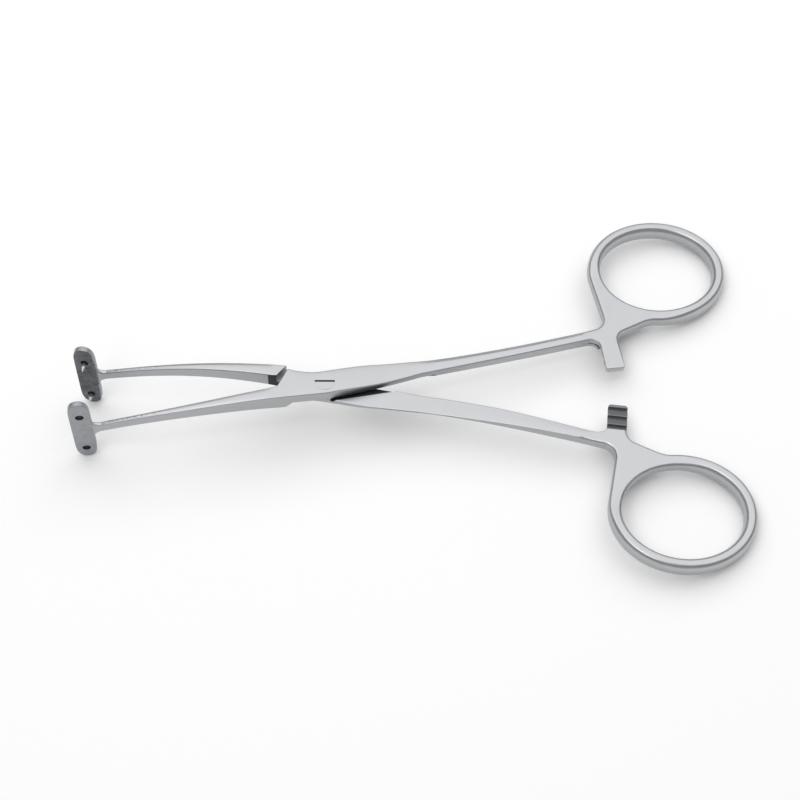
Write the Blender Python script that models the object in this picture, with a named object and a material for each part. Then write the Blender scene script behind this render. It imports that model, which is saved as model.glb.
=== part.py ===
"""Flap grasping forceps: two box-locked halves with finger rings, ratchets and upright jaw plates.

The box half carries the slotted box; the inner half passes through it on a thin tenon and turns
on a flush pin. Each half is drawn closed, with its shank at +Y and its jaw arm at -Y, about the
pin's axis. The inner half is the mirror image. Both are then swung apart to the resting opening.
X runs from the jaws to the finger rings. The origin is on the pin's axis, at the box's underside.
Lengths are in millimetres up to the point where a mesh is made.
"""

import math

import bmesh
import bpy
import numpy as np
from mathutils import Vector
from mathutils.geometry import delaunay_2d_cdt

MM = 0.001

# Opening
REST_OPENING = 13.6  # degrees between the halves as they lie, counted from closed

# Box lock
BOX_THICKNESS = 4.6
BOX_HALF_WIDTH = 3.2  # middle line to the box's edge beside the pin
WAIST_HALF_WIDTH = 2.9  # the same at the waist of the other edge
WAIST_OFFSET = 2.0  # pin to the waist, towards the jaws
BOX_FRONT = 10.9  # pin to the point where the two jaw arms part
BOX_REAR = 22.0  # pin to the place where the box has run out into the shank
CHEEK_CORNER = 8.2  # pin to the outer front corner of the cheeks
CHEEK_HALF_WIDTH = 4.5  # middle line to that corner
CHEEK_EDGE = 0.12
TAPER_START = 8.0  # pin to where the box starts to thin towards the shank
TAPER_END = 26.0
TENON_THICKNESS = 1.6
TENON_CLEARANCE = 0.15  # above and below the tenon
SHOULDER_GAP = 0.3  # between the box and what the inner half has beside it, when closed
WEB_REACH = 3.0  # how near to the pin the solid webs beside the slot come
WEB_WALL = 0.45  # what the webs leave of the box's width there
PIN_DIAMETER = 3.0
PIN_SEAT = 0.05
PIN_RUNNING_CLEARANCE = 0.08

# Jaw arms
ARM_ROOT_WIDTH = 3.1
ARM_TIP_WIDTH = 1.05
ARM_TIP_THICKNESS = 2.8
ARM_PARTING = 0.12  # half the space between the closed arms at their root
ARM_TIP_PARTING = 0.5
ARM_BOW = 0.75
ARM_DROP = 7.5  # how far the curved arms bring the plates down below the box
ARM_EDGE = 0.32

# Jaw plates
PLATE_DISTANCE = 55.1  # pin to the middle of a plate
PLATE_HEIGHT = 21.2
PLATE_WIDTH = 4.8
PLATE_THICKNESS = 1.4
PLATE_FULLNESS = 8.0  # how square the ends are: 2 would be an ellipse
PLATE_LIFT = 0.7  # middle of the plate above the arm's end
PLATE_EDGE = 0.25
PLATE_CLOSED_GAP = 0.2
STUB_LENGTH = 1.9
STUB_FLARE = 1.7
STUB_EDGE = 0.2
STUB_OVERLAP = 0.6  # how far the stub runs into its plate
BRAZE_GAP = 0.08
SERRATION_PITCH = 0.8
SERRATION_DEPTH = 0.2
SERRATION_MARGIN = 0.6  # smooth land between the serrations and the holes

# Spikes
SPIKE_DIAMETER = 0.9
SPIKE_SPACING = 12.8
SPIKE_DROP = 0.7  # middle of the pair below the middle of the plate
SPIKE_REACH = 2.4
SPIKE_POINT = 1.5
SPIKE_TIP = 0.12
SPIKE_SEAT = 0.06
SPIKE_HOLE = 1.7
SPIKE_RECESS = 0.5

# Shanks
SHANK_ROOT_WIDTH = 3.45
SHANK_WIDTH = 2.6
SHANK_THICKNESS = 2.7
SHANK_END_THICKNESS = 2.9
SHANK_SWELL_START = 40.0  # pin to where the shank starts to thicken again
SHANK_ROOT_OFFSET = 2.02  # middle line to the middle of the shank, at the box's rear
SHANK_SPLAY = 0.075
SHANK_BOW = 0.0009  # per millimetre
SHANK_OUTER_ROUND = 0.8
SHANK_INNER_ROUND = 0.35

# Finger rings
RING_PAST_RATCHET = 15.0  # middle of the ratchet to the middle of the ring
RING_Y = 22.9
RING_LONG = 14.75  # half axes of the middle line of the ring's bar
RING_SHORT = 12.85
RING_TURN = -4.5
RING_BAR_WIDTH = 2.95
RING_BAR_HEIGHT = 4.2
RING_FLAT = 0.75
WEB_ANGLE = 228.0  # place on the ring that faces the middle of the web, in degrees
WEB_HALF_SPAN = 37.0  # to where the bar starts to grow out of the web
WEB_RUNOUT = 35.0
NECK_ANGLE = 188.5  # where the outer edge leaves the ring for the shank
WEB_END_ANGLE = 266.0  # where it leaves the ring for the ratchet
WEB_CORNER = 6.0  # middle line to the web's corner on the ratchet
WEB_SLOPE = 0.364  # rise of the web's edge from there towards the ring

# Ratchets
RATCHET_X = 66.1  # pin to the middle of the ratchet bars
RATCHET_WIDTH = 4.4
RATCHET_REACH = 3.4  # past the middle line, when closed
RATCHET_PITCH = 2.3
RATCHET_TOOTH_DEPTH = 0.6
RATCHET_TEETH = 3
RATCHET_CREST = 0.38  # flat crest as a share of the pitch
RATCHET_CLEARANCE = 0.3
RATCHET_EDGE = 0.2
RATCHET_CORNER = 0.7
RATCHET_LAND = 0.9  # plain bar between the teeth and the shank
NECK_FILLET = 3.2
WEB_FILLET = 2.7
JOIN_FILLET = 7.0
ROOT_FILLET = 2.2

# Points on the outline of one half
RING_POINTS = 44
HOLE_POINTS = 40
BOX_EDGE_POINTS = 14
STRAIGHT_POINTS = 12

# Worked-out values
RING_X = RATCHET_X + RING_PAST_RATCHET
HALF_OPENING = math.radians(REST_OPENING / 2)
PLATE_INNER = PLATE_CLOSED_GAP / 2
ARM_END = PLATE_DISTANCE - PLATE_WIDTH / 2 - STUB_LENGTH
SLOT_THICKNESS = TENON_THICKNESS + 2 * TENON_CLEARANCE
RATCHET_LEFT = RATCHET_X - RATCHET_WIDTH / 2
RATCHET_RIGHT = RATCHET_X + RATCHET_WIDTH / 2
SHANK_END = RATCHET_LEFT - ROOT_FILLET - 1.0
ASIDE = 2.5 * CHEEK_HALF_WIDTH  # a place well beside the box, for cutters
ABOVE = 2 * BOX_THICKNESS  # a place well above or below it


def blend(start, end, share):
    return start + (end - start) * share


def smooth(share):
    """An S-curve from 0 to 1 that starts and ends level."""
    share = min(max(share, 0.0), 1.0)
    return share * share * (3 - 2 * share)


def steel(name, colour, roughness):
    material = bpy.data.materials.new(name)
    material.use_nodes = True
    shader = material.node_tree.nodes["Principled BSDF"]
    shader.inputs["Base Color"].default_value = (*colour, 1.0)
    shader.inputs["Metallic"].default_value = 1.0
    shader.inputs["Roughness"].default_value = roughness
    material.diffuse_color = (*colour, 1.0)
    return material


# Edges of one half in plan, closed


def arm_share(x):
    """0 at the arm's root, 1 at its end."""
    return min(max((-x - BOX_FRONT) / (ARM_END - BOX_FRONT), 0.0), 1.0)


def arm_inner(x):
    share = arm_share(x)
    return -(blend(ARM_PARTING, ARM_TIP_PARTING, share) + ARM_BOW * math.sin(math.pi * share))


def arm_outer(x):
    width = blend(ARM_TIP_WIDTH, ARM_ROOT_WIDTH, (1 - arm_share(x)) ** 1.8)
    return arm_inner(x) - width


def arm_drop(x):
    """The jaw arms curve down, gently at the box and more towards the plates."""
    reach = max(-x - BOX_FRONT, 0.0) / (PLATE_DISTANCE - BOX_FRONT)
    return ARM_DROP * min(reach, 1.0) ** 1.75


def shank_middle(x):
    run = x - BOX_REAR
    return SHANK_ROOT_OFFSET + SHANK_SPLAY * run + SHANK_BOW * run * run


def shank_width(x):
    share = min(max((x - BOX_REAR) / (SHANK_END - BOX_REAR), 0.0), 1.0)
    return blend(SHANK_WIDTH, SHANK_ROOT_WIDTH, (1 - share) ** 3)


def shank_outer(x):
    return shank_middle(x) + shank_width(x) / 2


def shank_inner(x):
    return shank_middle(x) - shank_width(x) / 2


def box_outer(x):
    """The cheeks' outer edge, waisted near the pin and still rising where the shank takes over."""
    past = x + WAIST_OFFSET
    if past < 0:
        share = (-past / (CHEEK_CORNER - WAIST_OFFSET)) ** 1.5
        return blend(WAIST_HALF_WIDTH, CHEEK_HALF_WIDTH, share)
    share = smooth(0.8 * past / (BOX_REAR + WAIST_OFFSET)) / smooth(0.8)
    return blend(WAIST_HALF_WIDTH, shank_outer(BOX_REAR), share)


def box_inner(x):
    """The box's other edge: full width to the pin, then a long taper into the shank."""
    if x < 0:
        return blend(-BOX_HALF_WIDTH, arm_outer(-BOX_FRONT), smooth(-x / BOX_FRONT))
    share = x / BOX_REAR
    return blend(-BOX_HALF_WIDTH, shank_inner(BOX_REAR), blend(0.75, 1, share) * share)


def half_thickness(x):
    if x < -BOX_FRONT:
        thickness = blend(ARM_TIP_THICKNESS, BOX_THICKNESS, (1 - arm_share(x)) ** 1.6)
    elif x < TAPER_END:
        share = smooth((x - TAPER_START) / (TAPER_END - TAPER_START))
        thickness = blend(BOX_THICKNESS, SHANK_THICKNESS, share)
    else:
        share = smooth((x - SHANK_SWELL_START) / (SHANK_END - SHANK_SWELL_START))
        thickness = blend(SHANK_THICKNESS, SHANK_END_THICKNESS, share)
    return thickness / 2


# Outline of one half


def along(edge, start, end, steps, rounding):
    """Points on an edge given as a function of x: place, half thickness, rounding in and down."""
    return [
        (x, edge(x), half_thickness(x), rounding, rounding)
        for x in np.linspace(start, end, steps)
    ]


def crossing(point, direction, other, other_direction):
    """Where two lines in plan meet."""
    across = Vector((other_direction[1], -other_direction[0]))
    reach = (Vector(other) - Vector(point)).dot(across) / Vector(direction).dot(across)
    return Vector(point) + Vector(direction) * reach


def fillet(before, corner, after, radius, steps, rounding):
    """Points of the arc that rounds a corner between two straight lines."""
    corner = Vector(corner)
    towards, away = (Vector(before) - corner).normalized(), (Vector(after) - corner).normalized()
    angle = towards.angle(away)
    centre = corner + (towards + away).normalized() * radius / math.sin(angle / 2)
    first = corner + towards * radius / math.tan(angle / 2) - centre
    last = corner + away * radius / math.tan(angle / 2) - centre
    turn = math.atan2(first.x * last.y - first.y * last.x, first.dot(last))
    points = []
    for step in range(steps + 1):
        part = turn * step / steps
        x = centre.x + first.x * math.cos(part) - first.y * math.sin(part)
        y = centre.y + first.x * math.sin(part) + first.y * math.cos(part)
        points.append((x, y, SHANK_END_THICKNESS / 2, rounding, rounding))
    return points


def ring_point(degrees, offset):
    """A point beside the middle line of the ring's bar, on the outward side where offset > 0."""
    angle, turn = math.radians(degrees), math.radians(RING_TURN)
    x, y = RING_LONG * math.cos(angle), RING_SHORT * math.sin(angle)
    normal = Vector((math.cos(angle) / RING_LONG, math.sin(angle) / RING_SHORT)).normalized()
    x, y = x + normal.x * offset, y + normal.y * offset
    across = x * math.cos(turn) - y * math.sin(turn)
    return Vector((RING_X + across, RING_Y + x * math.sin(turn) + y * math.cos(turn)))


def ring_direction(degrees):
    """The direction of the ring's edge there."""
    return ring_point(degrees + 1, 0) - ring_point(degrees - 1, 0)


def ring_edge(start, end, steps, offset):
    """Points along one edge of the ring's bar, which is lower where it meets the web."""
    points = []
    for degrees in np.linspace(start, end, steps):
        away = abs((degrees - WEB_ANGLE + 180) % 360 - 180)
        share = smooth((away - WEB_HALF_SPAN) / WEB_RUNOUT)
        height = blend(SHANK_END_THICKNESS, RING_BAR_HEIGHT, share) / 2
        inset = blend(SHANK_OUTER_ROUND, (RING_BAR_WIDTH - RING_FLAT) / 2, share)
        depth = blend(SHANK_OUTER_ROUND, 0.92 * RING_BAR_HEIGHT / 2, share)
        points.append((*ring_point(degrees, offset), height, inset, depth))
    return points


def half_outline(steps=1.0):
    """One half seen from above, closed: the outer loop, counter-clockwise, and the ring's hole."""

    def count(number):
        return max(3, round(number * steps))

    side = RING_BAR_WIDTH / 2
    shank_top = (SHANK_END, shank_outer(SHANK_END))
    shank_run = (1, shank_outer(SHANK_END + 1) - shank_outer(SHANK_END))
    ring_in, ring_out = ring_point(NECK_ANGLE, side), ring_point(WEB_END_ANGLE, side)
    neck = crossing(ring_in, ring_direction(NECK_ANGLE), shank_top, shank_run)
    web = (RATCHET_RIGHT, WEB_CORNER)
    join = crossing(ring_out, ring_direction(WEB_END_ANGLE), web, (1, WEB_SLOPE))
    root = (RATCHET_LEFT, shank_inner(RATCHET_LEFT))
    tip_left, tip_right = (RATCHET_LEFT, -RATCHET_REACH), (RATCHET_RIGHT, -RATCHET_REACH)
    box_round, level = 0.6 * SHANK_OUTER_ROUND, BOX_THICKNESS / 2

    loop = along(arm_outer, -ARM_END, -BOX_FRONT - 0.5, count(STRAIGHT_POINTS), ARM_EDGE)
    loop += along(box_inner, -BOX_FRONT + 1.5, BOX_REAR, count(BOX_EDGE_POINTS), SHANK_INNER_ROUND)
    loop += along(shank_inner, BOX_REAR + 3, SHANK_END, count(STRAIGHT_POINTS), SHANK_INNER_ROUND)
    loop += fillet(loop[-1][:2], root, tip_left, ROOT_FILLET, count(6), RATCHET_EDGE)
    loop += fillet(root, tip_left, tip_right, RATCHET_CORNER, count(3), RATCHET_EDGE)
    loop += fillet(tip_left, tip_right, web, RATCHET_CORNER, count(3), RATCHET_EDGE)
    loop += fillet(tip_right, web, join, WEB_FILLET, count(6), SHANK_OUTER_ROUND)
    loop += fillet(web, join, ring_out, JOIN_FILLET, count(4), SHANK_OUTER_ROUND)
    loop += ring_edge(WEB_END_ANGLE - 360, NECK_ANGLE, count(RING_POINTS), side)
    loop += fillet(ring_in, neck, shank_top, NECK_FILLET, count(6), SHANK_OUTER_ROUND)
    loop += along(shank_outer, SHANK_END, BOX_REAR + 3, count(STRAIGHT_POINTS), SHANK_OUTER_ROUND)
    loop += along(box_outer, BOX_REAR, -CHEEK_CORNER + 0.3, count(BOX_EDGE_POINTS), box_round)
    loop.append((-CHEEK_CORNER, CHEEK_HALF_WIDTH - 0.4, level, CHEEK_EDGE, CHEEK_EDGE))
    loop.append((-BOX_FRONT + 0.2, arm_inner(-BOX_FRONT) + 0.25, level, CHEEK_EDGE, CHEEK_EDGE))
    loop += along(arm_inner, -BOX_FRONT - 0.8, -ARM_END, count(STRAIGHT_POINTS), ARM_EDGE)
    hole = ring_edge(360, 360 / count(HOLE_POINTS), count(HOLE_POINTS), -side)
    return loop, hole


# Bodies


def new_object(name, body, material, parent, hidden=False):
    mesh = bpy.data.meshes.new(name)
    body.to_mesh(mesh)
    body.free()
    mesh.materials.append(material)
    obj = bpy.data.objects.new(name, mesh)
    bpy.context.scene.collection.objects.link(obj)
    obj.parent = parent
    if hidden:
        obj.hide_render = True
        obj.display_type = "WIRE"
    else:
        mesh.shade_smooth()
        mesh.set_sharp_from_angle(angle=math.radians(32))
    return obj


def cut(obj, name, body, operation="DIFFERENCE"):
    """Takes a body away from an object, or adds it."""
    cutter = new_object(name, body, obj.data.materials[0], obj.parent, hidden=True)
    modifier = obj.modifiers.new(name, "BOOLEAN")
    modifier.object = cutter
    modifier.operation = operation
    modifier.solver = "EXACT"


def strip(body, lower, upper):
    """A band of faces between two closed rows of vertices."""
    for i in range(len(lower)):
        j = (i + 1) % len(lower)
        body.faces.new((lower[i], lower[j], upper[j], upper[i]))


def lofted(rows):
    """A closed body through rows of points, each row a closed loop, with flat ends."""
    body = bmesh.new()
    rings = [[body.verts.new([value * MM for value in point]) for point in row] for row in rows]
    for lower, upper in zip(rings, rings[1:]):
        strip(body, lower, upper)
    body.faces.new(rings[0])
    body.faces.new(rings[-1])
    bmesh.ops.recalc_face_normals(body, faces=body.faces)
    return body


def prism(corners, low, high):
    """A straight prism over a plan polygon."""
    return lofted([[(x, y, z) for x, y in corners] for z in (low, high)])


def turned(profile, place, segments=20):
    """A turned body about a line parallel to Y through a place in X and Z."""
    rows = []
    for radius, y in profile:
        angles = [2 * math.pi * i / segments for i in range(segments)]
        row = [(place[0] + radius * math.cos(a), y, place[1] + radius * math.sin(a)) for a in angles]
        rows.append(row)
    return lofted(rows)


def round_bar(diameter, length):
    """An upright cylinder about the pin's axis."""
    body = bmesh.new()
    bmesh.ops.create_cone(
        body,
        cap_ends=True,
        segments=32,
        radius1=diameter / 2 * MM,
        radius2=diameter / 2 * MM,
        depth=length * MM,
    )
    return body


def inward_normals(points):
    """Normals to the left of a loop of plan points, lengthened at corners to keep the inset even."""
    before, after = np.roll(points, 1, axis=0), np.roll(points, -1, axis=0)
    first = (points - before) / np.linalg.norm(points - before, axis=1, keepdims=True)
    second = (after - points) / np.linalg.norm(after - points, axis=1, keepdims=True)
    run = first + second
    run /= np.linalg.norm(run, axis=1, keepdims=True)
    mitre = np.clip((run * first).sum(axis=1), 0.5, 1)
    return np.stack([-run[:, 1], run[:, 0]], axis=1) / mitre[:, None]


def rounded_body(loops, mirror, arc_steps=3):
    """A body with the plan of the loops, each point with its own half thickness and rounding."""
    body = bmesh.new()
    angles = [math.radians(90 * step / arc_steps) for step in range(arc_steps + 1)]
    profile = [(-1, angle) for angle in reversed(angles)] + [(1, angle) for angle in angles]
    ends = []
    for loop in loops:
        data = np.array(loop)
        plan, height, inset, depth = data[:, :2], data[:, 2], data[:, 3], data[:, 4]
        normals = inward_normals(plan)
        rows = []
        for side, angle in profile:
            place = plan + normals * (inset * (1 - math.cos(angle)))[:, None]
            level = side * (height - depth + depth * math.sin(angle))
            points = [(x, mirror * y, z - arm_drop(x)) for (x, y), z in zip(place, level)]
            rows.append([body.verts.new([value * MM for value in point]) for point in points])
        for lower, upper in zip(rows, rows[1:]):
            strip(body, lower, upper)
        ends.append((rows[0], rows[-1]))
    for rings in zip(*ends):
        fill(body, rings)
    bmesh.ops.recalc_face_normals(body, faces=body.faces)
    return body


def fill(body, rings):
    """Triangles between the outer ring of vertices and the convex hole that may follow it."""
    corners = [vertex for ring in rings for vertex in ring]
    flat = [Vector((vertex.co.x / MM, vertex.co.y / MM)) for vertex in corners]
    edges = []
    for ring in rings:
        first = len(edges)
        edges += [(first + i, first + (i + 1) % len(ring)) for i in range(len(ring))]
    faces = delaunay_2d_cdt(flat, edges, [], 1, 1e-6)[2]
    for face in faces:
        if min(face) < len(rings[0]):
            body.faces.new([corners[i] for i in face])


# Box lock


def cheek_plan(gap):
    """Plan of the box's cheeks, as the inner half's shoulders clear them when closed."""
    near = [(x, box_inner(x) - gap) for x in np.linspace(1.0, BOX_REAR, 8)]
    return [
        (-BOX_FRONT - gap, arm_inner(-BOX_FRONT) + 0.1),
        (-BOX_FRONT - gap, -ASIDE),
        (near[0][0], -ASIDE),
        *near,
        (BOX_REAR + gap, shank_inner(BOX_REAR) + 0.4),
        (BOX_REAR + gap, ASIDE),
        (-CHEEK_CORNER - gap + 1.2, ASIDE),
        (-CHEEK_CORNER - gap, CHEEK_HALF_WIDTH - 0.2),
    ]


def front_web(gap):
    """Plan of the solid of the box half beside the front of the slot, grown by a gap."""
    edge = arm_inner(-BOX_FRONT) + 0.08 + gap
    return [
        (-WEB_REACH + gap, -BOX_HALF_WIDTH + WEB_WALL + gap),
        (-BOX_FRONT + WEB_WALL + gap, edge),
        (-BOX_FRONT - 3, edge),
        (-BOX_FRONT - 3, -ASIDE),
        (-WEB_REACH + gap, -ASIDE),
    ]


def rear_web(gap):
    """Plan of the solid of the box half beside the rear of the slot, grown by a gap."""
    edge = shank_inner(BOX_REAR) - 1.2 - gap
    return [
        (WEB_REACH + 1 - gap, WAIST_HALF_WIDTH - WEB_WALL - gap),
        (0.8 * BOX_REAR - gap, edge),
        (BOX_REAR + TAPER_START, edge),
        (BOX_REAR + TAPER_START, ASIDE),
        (WEB_REACH + 1 - gap, ASIDE),
    ]


def slot_plan():
    """Plan of the slot through the box: all that lies between the two webs."""
    front, rear = front_web(0), rear_web(0)
    return [
        (-BOX_FRONT - 2, front[1][1]),
        front[1],
        front[0],
        (front[0][0], -ASIDE),
        (rear[1][0] + 0.5, -ASIDE),
        (rear[1][0] + 0.5, rear[1][1] - 0.2),
        rear[1],
        rear[0],
        (rear[0][0], ASIDE),
        (-BOX_FRONT - 2, ASIDE),
    ]


def ratchet_space(side, mirror):
    """The room of the other half's ratchet bar, above or below, with the teeth that lock into it."""
    crest = side * RATCHET_CLEARANCE / 2
    root = side * (RATCHET_CLEARANCE / 2 + RATCHET_TOOTH_DEPTH)
    beyond = crest - side * SHANK_END_THICKNESS
    stop = shank_inner(SHANK_END) - RATCHET_LAND
    profile = [(-RATCHET_REACH - 1, beyond), (-RATCHET_REACH - 1, crest)]
    for tooth in range(RATCHET_TEETH, 0, -1):
        y = stop - tooth * RATCHET_PITCH
        profile += [(y, crest), (y + 0.15, root), (y + (1 - RATCHET_CREST) * RATCHET_PITCH, crest)]
    profile += [(stop, crest), (stop, beyond)]
    ends = (RATCHET_LEFT - ROOT_FILLET - 1, RATCHET_RIGHT + WEB_FILLET)
    return lofted([[(x, mirror * y, z) for y, z in profile] for x in ends])


def make_box_half(material, frame):
    half = new_object("box_half", rounded_body(half_outline(), 1), material, frame)
    cut(half, "slot", prism(slot_plan(), -SLOT_THICKNESS / 2, SLOT_THICKNESS / 2))
    cut(half, "pin_seat", round_bar(PIN_DIAMETER + 2 * PIN_SEAT, ABOVE))
    cut(half, "box_ratchet_space", ratchet_space(1, 1))


def make_inner_half(material, frame):
    half = new_object("inner_half", rounded_body(half_outline(), -1), material, frame)
    cut(half, "upper_cheek_space", prism(cheek_plan(SHOULDER_GAP), TENON_THICKNESS / 2, ABOVE))
    cut(half, "lower_cheek_space", prism(cheek_plan(SHOULDER_GAP), -ABOVE, -TENON_THICKNESS / 2))
    cut(half, "front_web_space", prism(front_web(SHOULDER_GAP), -ABOVE, ABOVE))
    cut(half, "rear_web_space", prism(rear_web(SHOULDER_GAP), -ABOVE, ABOVE))
    cut(half, "tenon_bore", round_bar(PIN_DIAMETER + 2 * PIN_RUNNING_CLEARANCE, ABOVE))
    cut(half, "inner_ratchet_space", ratchet_space(-1, -1))


def make_pivot_pin(material, frame):
    new_object("pivot_pin", round_bar(PIN_DIAMETER, BOX_THICKNESS), material, frame)


# Jaw plates and spikes


def plate_level():
    return PLATE_LIFT - arm_drop(-PLATE_DISTANCE)


def plate_outline(shrink, steps=32):
    """The plate's outline in X and Z about its own middle: slightly bulged sides, full round ends."""
    half_width, half_height = PLATE_WIDTH / 2 - shrink, PLATE_HEIGHT / 2 - shrink
    points = []
    for step in range(steps):
        angle = 2 * math.pi * step / steps
        rise = abs(math.sin(angle)) ** (2 / PLATE_FULLNESS)
        points.append((half_width * math.cos(angle), math.copysign(half_height * rise, math.sin(angle))))
    return points


def plate_body(side):
    inner, outer = PLATE_INNER, PLATE_INNER + PLATE_THICKNESS
    layers = ((inner, PLATE_EDGE), (inner + PLATE_EDGE, 0), (outer - PLATE_EDGE, 0), (outer, PLATE_EDGE))
    level = plate_level()
    return lofted([
        [(x - PLATE_DISTANCE, side * y, level + z) for x, z in plate_outline(shrink)]
        for y, shrink in layers
    ])


def stub_body(mirror, steps=6):
    """The flared stub between plate and arm, which starts with the section of the arm's end."""
    rows = []
    start = -ARM_END - BRAZE_GAP
    for step in range(steps + 1):
        share = step / steps
        x = blend(start, -ARM_END - STUB_LENGTH - STUB_OVERLAP, share)
        high = half_thickness(-ARM_END) + STUB_FLARE * share**2.2
        inner = blend(arm_inner(-ARM_END), -PLATE_INNER - 0.3, share**0.8)
        outer = blend(arm_outer(-ARM_END), -PLATE_INNER - PLATE_THICKNESS + 0.15, share**0.8)
        quarter = [(inner, high - STUB_EDGE), (inner - STUB_EDGE, high)]
        quarter += [(outer + STUB_EDGE, high), (outer, high - STUB_EDGE)]
        corners = quarter + [(y, -z) for y, z in reversed(quarter)]
        rows.append([(x, mirror * y, z - arm_drop(x)) for y, z in corners])
    return lofted(rows)


def serrations(side):
    """V grooves at 45 degrees over the plate's inner face, between the two holes."""
    spacing = SERRATION_PITCH * math.sqrt(2)
    band = SPIKE_SPACING - SPIKE_HOLE - 2 * SERRATION_MARGIN
    count = int(band / spacing)
    middle = plate_level() - SPIKE_DROP
    front, bottom = PLATE_INNER - 0.05, PLATE_INNER + SERRATION_DEPTH
    profile = []
    for groove in range(count):
        z = middle + (groove - (count - 1) / 2) * spacing
        profile += [(front, z - 0.45 * spacing), (bottom, z), (front, z + 0.45 * spacing)]
    profile += [(front - 1, profile[-1][1]), (front - 1, profile[0][1])]
    rows = []
    for x in (-PLATE_WIDTH, PLATE_WIDTH):
        rows.append([(x - PLATE_DISTANCE, side * y, z + x) for y, z in profile])
    return lofted(rows)


def spike_places():
    middle = plate_level() - SPIKE_DROP
    return [(-PLATE_DISTANCE, middle + end * SPIKE_SPACING / 2) for end in (1, -1)]


def make_plate(name, mirror, material, frame):
    """A plate with its inner face beside the middle line, and its stub."""
    plate = new_object(name, plate_body(-mirror), material, frame)
    cut(plate, name + "_stub", stub_body(mirror), "UNION")
    cut(plate, name + "_grooves", serrations(-mirror))
    return plate


def make_drilled_plate(material, frame):
    """The box half's plate, with through holes that take the spikes."""
    plate = make_plate("drilled_jaw_plate", 1, material, frame)
    ends = (1, -(PLATE_INNER + PLATE_THICKNESS + 1))
    for place, name in zip(spike_places(), ("upper_hole", "lower_hole")):
        cut(plate, name, turned([(SPIKE_HOLE / 2, y) for y in ends], place))


def make_spiked_plate(material, frame):
    """The inner half's plate, with a bore for each spike in a wider recess."""
    plate = make_plate("spiked_jaw_plate", -1, material, frame)
    bore = SPIKE_DIAMETER / 2 + SPIKE_SEAT
    step = PLATE_INNER + SPIKE_RECESS
    back = PLATE_INNER + PLATE_THICKNESS + 1
    profile = [(bore, back), (bore, step), (SPIKE_HOLE / 2, step), (SPIKE_HOLE / 2, -1)]
    for place, name in zip(spike_places(), ("upper_recess", "lower_recess")):
        cut(plate, name, turned(profile, place))


def make_spike(name, place, material, frame):
    """A pin pressed into the inner half's plate, pointing across the gap."""
    radius = SPIKE_DIAMETER / 2
    tip = PLATE_INNER - SPIKE_REACH
    profile = [(radius, PLATE_INNER + PLATE_THICKNESS), (radius, tip + SPIKE_POINT)]
    profile += [(0.72 * radius, tip + 0.55 * SPIKE_POINT), (SPIKE_TIP / 2, tip)]
    new_object(name, turned(profile, place), material, frame)


def make_frame(name, turn):
    """The empty that one half hangs on, on the pin's axis."""
    frame = bpy.data.objects.new(name, None)
    bpy.context.scene.collection.objects.link(frame)
    frame.location = (0, 0, BOX_THICKNESS / 2 * MM)
    frame.rotation_euler = (0, 0, turn)
    return frame


def main():
    for obj in list(bpy.data.objects):
        bpy.data.objects.remove(obj)
    satin = steel("satin_steel", (0.66, 0.67, 0.68), 0.32)
    plate_steel = steel("matt_plate_steel", (0.42, 0.43, 0.45), 0.45)
    bright = steel("bright_pin_steel", (0.7, 0.71, 0.72), 0.22)
    box_frame = make_frame("box_half_frame", HALF_OPENING)
    inner_frame = make_frame("inner_half_frame", -HALF_OPENING)

    make_box_half(satin, box_frame)
    make_inner_half(satin, inner_frame)
    make_pivot_pin(bright, box_frame)
    make_drilled_plate(plate_steel, box_frame)
    make_spiked_plate(plate_steel, inner_frame)
    for place, name in zip(spike_places(), ("upper_spike", "lower_spike")):
        make_spike(name, place, bright, inner_frame)
    bpy.context.view_layer.update()


main()
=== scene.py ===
"""Flap grasping forceps, dressed for a studio picture.

Laid out as a Blender add-on and run as a script. The packed model is loaded as a fixed frame,
then each steel piece is made again with finer edges, teeth and serrations and a worn satin
finish with a painted highlight on its rounded edges and painted shade in the lock, holes and
grooves, and the floor, lights and camera are set. Each half is drawn closed, about the pin's
axis, and swung to the resting opening at the end. Sizes are kept in metres, and worked with in
millimetres and degrees.
"""

import math
from types import SimpleNamespace

import bmesh
import bpy
import numpy as np
from bpy.props import FloatProperty, FloatVectorProperty, IntProperty, PointerProperty
from mathutils import Matrix, Vector
from mathutils.geometry import delaunay_2d_cdt


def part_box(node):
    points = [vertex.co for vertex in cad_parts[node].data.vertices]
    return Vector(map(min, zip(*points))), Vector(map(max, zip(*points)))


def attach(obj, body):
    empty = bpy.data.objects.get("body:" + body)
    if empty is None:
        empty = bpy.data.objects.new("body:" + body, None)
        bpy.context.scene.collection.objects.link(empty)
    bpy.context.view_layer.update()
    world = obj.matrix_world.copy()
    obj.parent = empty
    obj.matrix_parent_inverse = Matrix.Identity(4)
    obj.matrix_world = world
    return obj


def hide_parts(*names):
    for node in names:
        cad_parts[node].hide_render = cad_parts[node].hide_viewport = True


bl_info = {
    "name": "Flap Grasping Forceps",
    "version": (1, 0, 0),
    "blender": (4, 5, 0),
    "location": "3D View > Sidebar > Forceps",
    "description": "Ring-handled grasping forceps with a box lock and upright jaw plates",
    "category": "Add Mesh",
}

MM = 0.001
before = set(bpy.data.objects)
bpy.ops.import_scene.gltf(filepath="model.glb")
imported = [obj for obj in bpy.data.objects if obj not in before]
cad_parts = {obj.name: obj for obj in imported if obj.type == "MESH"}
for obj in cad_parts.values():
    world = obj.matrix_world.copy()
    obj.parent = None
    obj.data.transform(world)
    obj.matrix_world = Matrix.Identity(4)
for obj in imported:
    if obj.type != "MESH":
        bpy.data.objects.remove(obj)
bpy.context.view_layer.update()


# Sizes and colours


def length(name, millimetres, description):
    return FloatProperty(
        name=name, description=description, default=millimetres * MM, precision=5, unit="LENGTH"
    )


def angle(name, degrees, description):
    return FloatProperty(
        name=name, description=description, default=math.radians(degrees), unit="ROTATION"
    )


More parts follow.
